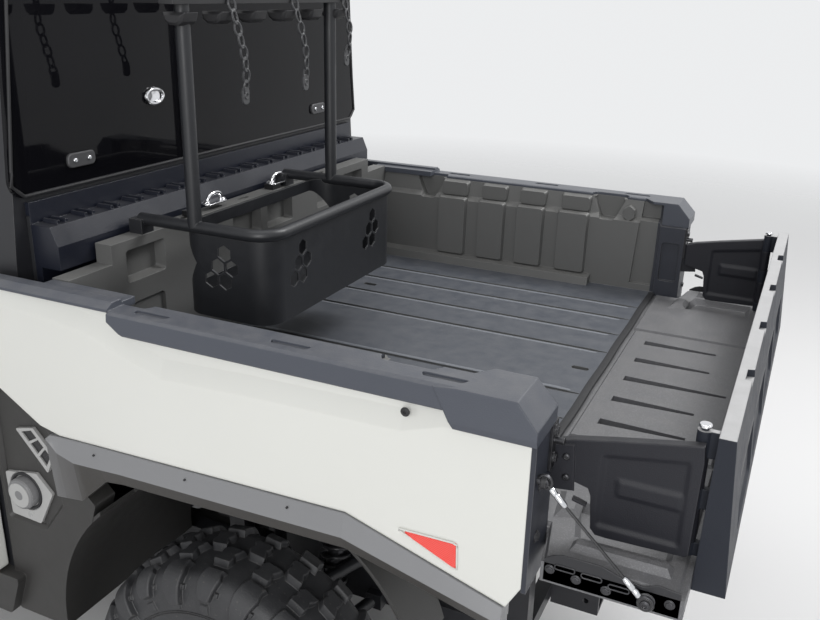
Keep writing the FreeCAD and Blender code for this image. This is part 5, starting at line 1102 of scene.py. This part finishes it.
EDGE = np.array([(-0.099, -0.003), (-0.114, 0.007), (-0.129, 0.012), (-0.194, 0.012), (-0.212, 0.006),
                 (-0.231, 0.0), (-0.262, -0.004), (-0.274, 0.001), (-0.287, 0.006), (-0.322, 0.002)])
FLANGE_IN, FLANGE_OUT, FLANGE_FOOT = 0.7875, 0.7900, -0.042
x, crest, flat = EDGE[:, 0], EDGE[:, 1] + 0.003, np.zeros(len(EDGE))
walls = [(FLANGE_IN, flat - 0.006), (FLANGE_IN, crest), (FLANGE_OUT, crest),
         (FLANGE_OUT, flat + FLANGE_FOOT), (FLANGE_IN, flat + FLANGE_FOOT)]
flange = [ring_stack(np.stack([bed(x, sign * y, z) for y, z in walls], 1)) for sign in (1, -1)]
piece("gate_flange", flange, powder_black, "bed", soft_edge=0.0006)
slots_at = [bed_frame(x, sign * (FLANGE_OUT + 0.0002), z, (0, sign, 0), (1, 0, 0)) for sign in (1, -1)
            for x, z in ((-0.135, -0.010), (-0.180, -0.012), (-0.225, -0.018))]
slot_rim = pipe(np.column_stack([rounded(0.034, 0.009, 0.004), np.zeros(20)]), 0.0014, 6, closed=True)
bolts_at = both_sides([(x, FLANGE_OUT, z, "+y") for x, z in
                       ((-0.155, -0.024), (-0.205, -0.028), (-0.306, -0.020), (-0.110, -0.018))])
piece("gate_slots", [copies(slot_rim, slots_at), copies(hex_bolt(0.0058, 0.004), on_faces(bolts_at))],
      dark_bolt, "bed")
print("gate edge", made[-3:])

# %% [markdown]
# ## Rear glass fittings
# The rear window is held by two-bolt clips at its sides, and a soft lip seals it to the cab all
# round. A bright oval latch for the opening pane sits on the glass above the basket.

# %% Glass clips, latch and seal
glass_low, glass_high = corners_of("rear_glass")
GLASS_X = glass_low[0]
CLIPS = ((0.540, 0.508), (-0.489, 0.510))
CLIP_THICK = 0.007


def on_glass(y, z, off=0.0, x_dir=(0, 1, 0)):
    """Frame facing back on the glass, off its rear face by a distance."""
    return turn_to(np.array([GLASS_X - off, y, FLOOR + z]), (-1, 0, 0), x_dir)


clip = plate(rounded(0.082, 0.032, 0.012), CLIP_THICK, 0.002)
glass_clips = piece("glass_clips", [copies(clip, [on_glass(y, z) for y, z in CLIPS])], cast_metal)
clip_bolts = [on_glass(y + d, z, CLIP_THICK, (0, 0, 1)) for y, z in CLIPS for d in (-0.021, 0.021)]
clip_screws = piece("glass_clip_screws", [copies(screw(0.0058, 0.004), clip_bolts)], zinc)
latch_ring = hoop(0.030, 0.017, 0.004, 0.0045, 8)
latch_dish = turned([(0.022, 0.0), (0.022, 0.002), (0.012, 0.001), (0.006, 0.0005)], 28)
latch_at = [on_glass(0.285, 0.621, 0.0005)]
latch = piece("glass_latch", [copies(latch_ring, latch_at), copies(latch_dish, latch_at)], chrome)

TOP_HALF, LOW_HALF = 0.675, 0.735
right_edge = [(LOW_HALF - 0.03, glass_low[2] + 0.004), (LOW_HALF, glass_low[2] + 0.03),
              (TOP_HALF + 0.004, glass_high[2] - 0.035), (TOP_HALF - 0.03, glass_high[2] - 0.004)]
left_edge = [(-y, z) for y, z in right_edge[::-1]]
seal_line = subdivided(np.array(left_edge[2:] + right_edge + left_edge[:2]), 0.03)
seal_path = np.column_stack([np.full(len(seal_line), GLASS_X - 0.0005), seal_line])
piece("glass_seal", [pipe(seal_path, 0.0042, 8, closed=True)], soft_rubber)
print("glass fittings", made[-4:])

# %% [markdown]
# ## Filler cap and its neck
# The fuel cap is a deep disc with a slightly domed face, turned like a lathe piece, that sits in a
# dark well. The three windows of the vent above it are backed with black plates.

# %% Cap, neck and vent
CAP_X, CAP_Z = 1.143, -0.240
filler_out = corners_of("fuel_filler")[1][1]


def on_filler(depth):
    """Frame on the filler's axis, in from its outer face by a depth, facing left."""
    return turn_to((SEAM + CAP_X, filler_out - depth, FLOOR + CAP_Z), (0, 1, 0), (1, 0, 0))


cover = turned([(0.0385, -0.026), (0.0385, -0.006), (0.0365, -0.002), (0.033, 0.0), (0.012, 0.0012),
                (0.004, 0.0014)], 44)
fuel_cap = piece("fuel_cap", [copies(cover, [on_filler(0.0012)])], cap_grey)
neck = hoop(0.0445, 0.0445, 0.0, 0.004, 8)
piece("filler_neck", [copies(neck, [on_filler(0.024)])], soft_rubber)

VENT = np.array([(1.149, -0.077), (1.094, -0.063), (1.039, -0.120), (1.064, -0.171)])
PANE_BACK = 0.7578
panes = []
for start in (0.08, 0.38, 0.68):
    corners = []
    for t, share in ((start, 0.2), (start, 0.8), (start + 0.24, 0.8), (start + 0.24, 0.2)):
        near, far = VENT[0] + t * (VENT[3] - VENT[0]), VENT[1] + t * (VENT[2] - VENT[1])
        corners.append((near + share * (far - near)) * (1, -1))
    panes.append(copies(plate(corners, 0.0018), [bed_frame(0, PANE_BACK, 0, (0, 1, 0), (1, 0, 0))]))
piece("vent_panes", panes, sleeve_black)
print("filler cap", made[-3:])

# %% [markdown]
# ## Wheel trim
# Each wheel bolts on with four chrome nuts round a black centre cap, and air goes in through a short
# rubber valve near the rim. They turn with the wheel, so one set is built about the axle and copied
# to the four wheels, turned round on the right side.

# %% Nuts, caps and valves
RIM_FACE = 0.700
NUT_CIRCLE = 0.0671
nut = merge([turned([(0.0125, 0.0), (0.0125, 0.0015), (0.0105, 0.0015)], 20),
             plate(polygon(6, 0.0115), 0.016, 0.003)])
hub_cap = turned([(0.034, -0.004), (0.034, 0.004), (0.031, 0.010), (0.020, 0.0135), (0.008, 0.0145),
                  (0.004, 0.0145)], 36)
valve = turned([(0.0055, -0.012), (0.0055, 0.004), (0.004, 0.008), (0.0042, 0.022), (0.0034, 0.024)], 14)
ring_groove = hoop(0.0255, 0.0255, 0.0122, 0.0011, 6, 28)
for tag in ("fl", "fr", "rl", "rr"):
    sign = 1 if tag[1] == "l" else -1
    cx, _, cz = sum(corners_of("rim_" + tag)) / 2
    nuts = [turn_to((cx + u, sign * (RIM_FACE + 0.002), cz + v), (0, sign, 0))
            for u, v in polygon(4, NUT_CIRCLE, math.pi / 4)]
    nuts_piece = piece("wheel_nuts_" + tag, [copies(nut, nuts)], chrome, "wheel_" + tag)
    face = turn_to((cx, sign * (RIM_FACE + 0.030), cz), (0, sign, 0), (1, 0, 0))
    up = turn_to((cx + 0.161, sign * RIM_FACE, cz + 0.02), (-0.35, sign, 0))
    piece("wheel_caps_" + tag, [copies(hub_cap, [face]), copies(ring_groove, [face]), copies(valve, [up])],
          soft_rubber, "wheel_" + tag)
print("wheel trim", made[-2:])

# %% [markdown]
# ## Springs
# A coil spring is wound round each shock absorber, and it is a helix: its angle grows with its
# height. The rear ones have nine turns and the taller front ones eleven.

# %% Coil springs
SHOCK_FOOT, SHOCK_HEAD, COIL_R = 0.400, 0.284, 0.0345
coils = []
for x, low_z, top_z, turns in ((0.560, -0.055, 0.287, 9), (2.690, -0.065, 0.407, 11)):
    foot, head = bed(x, SHOCK_FOOT, low_z - AXLE_DROP), bed(x, SHOCK_HEAD, top_z - AXLE_DROP)
    run = head - foot
    t = np.linspace(0, 1, turns * 22)
    angle = t * turns * 2 * np.pi
    rise = np.linalg.norm(run) * 0.617 * (0.02 + 0.96 * t)
    helix = np.stack([COIL_R * np.cos(angle), COIL_R * np.sin(angle), rise], -1)
    coils.append(copies(pipe(helix, 0.0052, 8), [turn_to(foot + run * 0.222, run, (1, 0, 0))]))
springs = piece("springs", [mirrored(merge(coils))], spring_paint)
print("springs", made[-1])

# %% [markdown]
# ## Front of the vehicle
# Each headlamp is a clear lens over three bright bowls with a projector's eye in each. Behind the
# grille bars a dark mesh of crossed wires keeps stones out of the radiator. None of this shows in
# the photograph, so it follows what such vehicles have.

# %% Lamp bowls and grille mesh
lamp_low, lamp_high = corners_of("headlamps")
bowl = turned([(0.0255, 0.026), (0.0255, 0.022), (0.021, 0.008), (0.012, 0.001), (0.004, 0.0005)], 32)
eye = turned([(0.012, 0.004), (0.012, 0.020), (0.009, 0.027), (0.004, 0.030)], 24)
bowls_at = [turn_to((lamp_high[0] - 0.052, sign * y, (lamp_low[2] + lamp_high[2]) / 2 - 0.002), (1, 0, 0))
            for sign in (1, -1) for y in (0.350, 0.425, 0.500)]
lamps_in = piece("lamp_bowls", [copies(bowl, bowls_at), copies(eye, bowls_at)], lamp_bright)

MESH_X, MESH_STEP, WIRE = 3.092, 0.020, 0.0016
grille = [pipe(bed(MESH_X, MESH_STEP * k - 0.260, [-0.295, -0.165]), WIRE, 6) for k in range(27)]
grille += [pipe(bed(MESH_X + 0.002, [-0.262, 0.262], MESH_STEP * k - 0.292), WIRE, 6) for k in range(7)]
piece("grille_mesh", grille, powder_black)
print("front", made[-2:])

# %% [markdown]
# ## Roof, doors and cab fittings
# The roof is screwed to the cage through its rim. Each door has a round lock button and a soft
# strip along the foot of its window. Inside there are two round gauges, a small screen, air vents
# and two pedals, so that the cab isn't empty behind its glass.

# %% Roof screws, door strips and locks
ROOF_RIM_Y, ROOF_RIM_Z = 0.600, 0.9775
STRIP_Y, STRIP_Z = 0.7895, 0.1760
LOCK_X, LOCK_Y, LOCK_Z = 1.420, 0.8128, 0.040
roof_bolts = [bed_frame(x, sign * ROOF_RIM_Y, ROOF_RIM_Z, (0, 0, 1))
              for sign in (1, -1) for x in (1.12, 1.42, 1.72, 2.02)]
roof_screws = piece("roof_screws", [copies(screw(0.010, 0.006), roof_bolts)], dark_bolt)
button = turned([(0.009, -0.002), (0.009, 0.004), (0.006, 0.006)], 20)
for sign, side_name in ((1, "left"), (-1, "right")):
    strip = pipe(bed(np.linspace(1.292, 2.085, 30), sign * STRIP_Y, STRIP_Z), 0.0045, 8)
    piece("door_strip_" + side_name, [strip], soft_rubber, "door_" + side_name)
    button_at = [bed_frame(LOCK_X, sign * LOCK_Y, LOCK_Z, (0, sign, 0))]
    lock = piece("door_lock_" + side_name, [copies(button, button_at)], chrome, "door_" + side_name)
print("cab outside", made[-4:])

# %% Gauges, screen, vents and pedals
DASH_X = 2.056
TILT = (-1.0, 0.0, 0.25)
PEDALS = (0.430, 0.330)
gauge_rim = turned([(0.052, 0.0), (0.052, 0.010), (0.046, 0.013), (0.044, 0.004), (0.010, 0.003)], 40)
needle = plate([(-0.002, -0.01), (0.002, -0.01), (0.0008, 0.036), (-0.0008, 0.036)], 0.0022)
gauges_at = [bed_frame(DASH_X + 0.012, y, 0.085, TILT, (0, 0, 1)) for y in (0.290, 0.410)]
piece("gauges", [copies(gauge_rim, gauges_at)], soft_rubber)
needles_at = [gauge @ turn_to((0, 0, 0.004), (0, 0, 1), (1, 0.6, 0)) for gauge in gauges_at]
piece("gauge_needles", [copies(needle, needles_at)], red_lens)
screen = plate(rounded(0.190, 0.110, 0.008), 0.012, 0.003)
piece("screen", [copies(screen, [bed_frame(DASH_X + 0.006, 0.0, 0.070, TILT, (0, 1, 0))])], dark_glass)
slat = plate(rounded(0.120, 0.005, 0.002), 0.010, 0.001)
vents_at = [bed_frame(DASH_X + 0.012 + 0.001 * k, y, 0.060 + 0.011 * k, TILT, (0, 1, 0))
            for y in (-0.520, -0.160, 0.160, 0.540) for k in range(5)]
piece("vent_slats", [copies(slat, vents_at)], sleeve_black)
pad = plate(rounded(0.060, 0.080, 0.010), 0.010, 0.003)
pedal_at = [bed_frame(2.040, y, -0.405, (-1, 0, 0.45), (0, 1, 0)) for y in PEDALS]
stems = [pipe(bed([2.045, 2.120, 2.200], y, [-0.405, -0.330, -0.250]), 0.007, 8) for y in PEDALS]
piece("pedals", [copies(pad, pedal_at)] + stems, powder_black)
print("cab inside", made[-5:])

# %% [markdown]
# ## Seats
# The bench is foam in a sewn cover. Foam swells against its cover, so each cushion is a slightly
# small block that a cloth simulation blows up for a few frames: the sides bow out and the corners
# stay put. It is run once, with a cap on how far a point may move, and its result is kept.

# %% Blow up a cushion
VOXEL = 0.0085
LAST_FRAME = 14


def seat_block(x0, x1, y0, y1, z0, z1, tilt=0.0):
    """Eight corners and six faces; the upper edge may lean back by the tilt in metres."""
    corners = np.array([(x + (tilt if z == z1 else 0.0), y, z) for z in (z0, z1) for x, y in
                        ((x0, y0), (x1, y0), (x1, y1), (x0, y1))])
    faces = [np.array([(3, 2, 1, 0), (4, 5, 6, 7), (0, 1, 5, 4), (1, 2, 6, 5), (2, 3, 7, 6), (3, 0, 4, 7)])]
    return corners + DATUM, faces


def swollen(name, shape, cap_move):
    """Round the block, remesh it, blow it up as cloth and hold each point within the cap."""
    obj = piece(name, [shape], seat_cloth, smooth=180)
    bpy.ops.object.select_all(action="DESELECT")
    obj.select_set(True)
    bpy.context.view_layer.objects.active = obj
    rounding = obj.modifiers.new("round", "BEVEL")
    rounding.width, rounding.segments = 0.022, 4
    bpy.ops.object.modifier_apply(modifier="round")
    obj.data.remesh_voxel_size = VOXEL
    bpy.ops.object.voxel_remesh()
    start = np.empty(len(obj.data.vertices) * 3)
    obj.data.vertices.foreach_get("co", start)
    cloth = obj.modifiers.new("foam", "CLOTH")
    cloth.settings.use_pressure = True
    cloth.settings.uniform_pressure_force = 4.0
    cloth.settings.effector_weights.gravity = 0.0
    cloth.settings.tension_stiffness = 18.0
    cloth.settings.bending_stiffness = 1.5
    scene = bpy.context.scene
    for number in range(1, LAST_FRAME + 1):
        scene.frame_set(number)
    swell = obj.evaluated_get(bpy.context.evaluated_depsgraph_get()).data
    end = np.empty(len(start))
    swell.vertices.foreach_get("co", end)
    scene.frame_set(1)
    obj.modifiers.remove(cloth)
    move = (end - start).reshape(-1, 3)
    far = np.linalg.norm(move, axis=1, keepdims=True)
    held = start.reshape(-1, 3) + move * np.minimum(1.0, cap_move / np.maximum(far, 1e-9))
    obj.data.vertices.foreach_set("co", held.ravel())
    obj.data.update()
    obj.data.shade_smooth()
    return obj


print("cushion recipe ready")

# %% Cushions, backs, frame and piping
PLACES = ((-0.632, -0.237), (-0.203, 0.203), (0.237, 0.632))
cushions = [swollen("seat_pad_%d" % k, seat_block(1.250, 1.690, y0, y1, -0.243, -0.172), 0.016)
            for k, (y0, y1) in enumerate(PLACES, 1)]
backs = [swollen("seat_rest_%d" % k, seat_block(1.196, 1.262, y0, y1, -0.118, 0.372, -0.028), 0.014)
         for k, (y0, y1) in enumerate(PLACES, 1)]
for pad_piece in cushions + backs:
    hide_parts("seat_cushion" if pad_piece in cushions else "seat_back")
piece("seat_frame", [seat_block(1.113, 1.172, -0.600, 0.600, -0.100, 0.368, -0.004)], cab_plastic,
      soft_edge=0.006)
piping = []
for y0, y1 in PLACES:
    loop = rounded(0.462, y1 - y0 + 0.010, 0.030) + (0, (y0 + y1) / 2)
    piping.append(pipe(bed(loop[:, 0] + 1.470, loop[:, 1], -0.236), 0.0038, 8, closed=True))
piece("seat_piping", piping, soft_rubber)
print("pads", [len(one.data.polygons) for one in cushions + backs])

# %% [markdown]
# ## Camera, lamps and floor
# The camera stands where the photographer stood: left of the bed and behind its seam, 0.9 m above
# the bed floor, looking down by twenty degrees and turned twenty-five from straight across. The
# light is a studio's: a soft key lamp from the right rear, a fill from the left, a weak wide lamp
# overhead, and a pale floor that keeps the vehicle's shadow.

# %% Camera
yaw, pitch, roll = math.radians(24.6), math.radians(20.2), math.radians(1.45)
ahead = np.array([math.sin(yaw) * math.cos(pitch), -math.cos(yaw) * math.cos(pitch), -math.sin(pitch)])
right = np.cross(ahead, (0, 0, 1))
right /= np.linalg.norm(right)
up = np.cross(right, ahead)
tilted_right = math.cos(roll) * right + math.sin(roll) * up
tilted_up = -math.sin(roll) * right + math.cos(roll) * up
lens = bpy.data.cameras.new("camera")
lens.lens, lens.sensor_width, lens.clip_start, lens.clip_end = 38.63, 36.0, 0.05, 200.0
camera = bpy.data.objects.new("camera", lens)
bpy.context.scene.collection.objects.link(camera)
place = np.eye(4)
place[:3, 0], place[:3, 1], place[:3, 2] = tilted_right, tilted_up, -ahead
place[:3, 3] = bed(-0.400, 2.008, 0.887)
camera.matrix_world = Matrix(place.tolist())
bpy.context.scene.camera = camera
print("camera at", [round(v, 3) for v in camera.matrix_world.translation])

# %% Floor
FLOOR_HALF = 24.0
FADE_FROM, FADE_OVER = 3.5, 6.0
p = Paint("studio_floor")
tone = p.noise(1.3, 3.0)
far = p.node("ShaderNodeVectorMath", {"operation": "LENGTH"}, {0: p.place}, "Value")
p.set(Base_Color=p.blend((tone - 0.5) * 0.3 + 0.5, (0.78, 0.78, 0.785), (0.82, 0.82, 0.825)), Roughness=0.8,
      Specular_IOR_Level=0.2, Alpha=(1 - (far - FADE_FROM) * (1 / FADE_OVER)).held())
across = np.linspace(-FLOOR_HALF, FLOOR_HALF, 9)
gx, gy = np.meshgrid(across, across, indexing="ij")
mesh = bpy.data.meshes.new("studio_floor")
mesh.from_pydata(np.stack([gx.ravel(), gy.ravel(), np.full(gx.size, -0.0005)], -1), [],
                 grid_faces(9, 9)[:, ::-1].tolist())
mesh.materials.append(p.material)
floor = bpy.data.objects.new("studio_floor", mesh)
bpy.context.scene.collection.objects.link(floor)
print("floor", FLOOR_HALF * 2, "m wide")

# %% World
world = bpy.data.worlds.new("studio")
bpy.context.scene.world = world
world.use_nodes = True
tree = world.node_tree
tree.nodes.clear()
pick = tree.nodes.new("ShaderNodeMixShader")
end = tree.nodes.new("ShaderNodeOutputWorld")
ray = tree.nodes.new("ShaderNodeLightPath")
# the plain light of the room first, then the background that is seen and mirrored
for slot, colour, strength in ((1, (1.0, 1.0, 1.0, 1.0), 0.44), (2, (0.84, 0.85, 0.86, 1.0), 1.0)):
    sky = tree.nodes.new("ShaderNodeBackground")
    sky.inputs["Color"].default_value, sky.inputs["Strength"].default_value = colour, strength
    tree.links.new(sky.outputs[0], pick.inputs[slot])
seen = ray.outputs["Is Camera Ray"]
for kind in ("Is Glossy Ray", "Is Transmission Ray"):
    either = tree.nodes.new("ShaderNodeMath")
    either.operation = "MAXIMUM"
    tree.links.new(seen, either.inputs[0])
    tree.links.new(ray.outputs[kind], either.inputs[1])
    seen = either.outputs[0]
tree.links.new(seen, pick.inputs[0])
tree.links.new(pick.outputs[0], end.inputs["Surface"])
print("world", world.name)

# %% Lamps


def softbox(name, where, towards, width, height, power):
    """A rectangle of light at one point that faces another."""
    lamp = bpy.data.lights.new(name, "AREA")
    lamp.shape, lamp.size, lamp.size_y, lamp.energy = "RECTANGLE", width, height, power
    holder = bpy.data.objects.new(name, lamp)
    bpy.context.scene.collection.objects.link(holder)
    aim = np.array(towards, float) - np.array(where, float)
    turn = turn_to(where, -aim, (0, 0, 1) if abs(aim[2]) < 0.9 * np.linalg.norm(aim) else (1, 0, 0))
    holder.matrix_world = Matrix(turn.tolist())


softbox("key", (-3.2, -2.6, 5.2), (-0.9, 0.2, 0.9), 2.2, 1.4, 180)
softbox("ceiling", (0.4, 0.6, 5.6), (0.2, 0.0, 0.8), 4.5, 3.0, 60)
softbox("left_fill", (-2.4, 5.2, 2.8), (-0.6, 0.0, 0.9), 3.0, 2.0, 130)
bpy.context.scene.view_settings.view_transform = "Standard"
print("three lamps")

# %% [markdown]
# ## Count of pieces
# The pieces added here are counted, with their faces. The pieces added here must stay inside
# the CAD model's box.

# %% Count of pieces and faces
print("pieces made", len(made), "faces", sum(count for _, count in made))
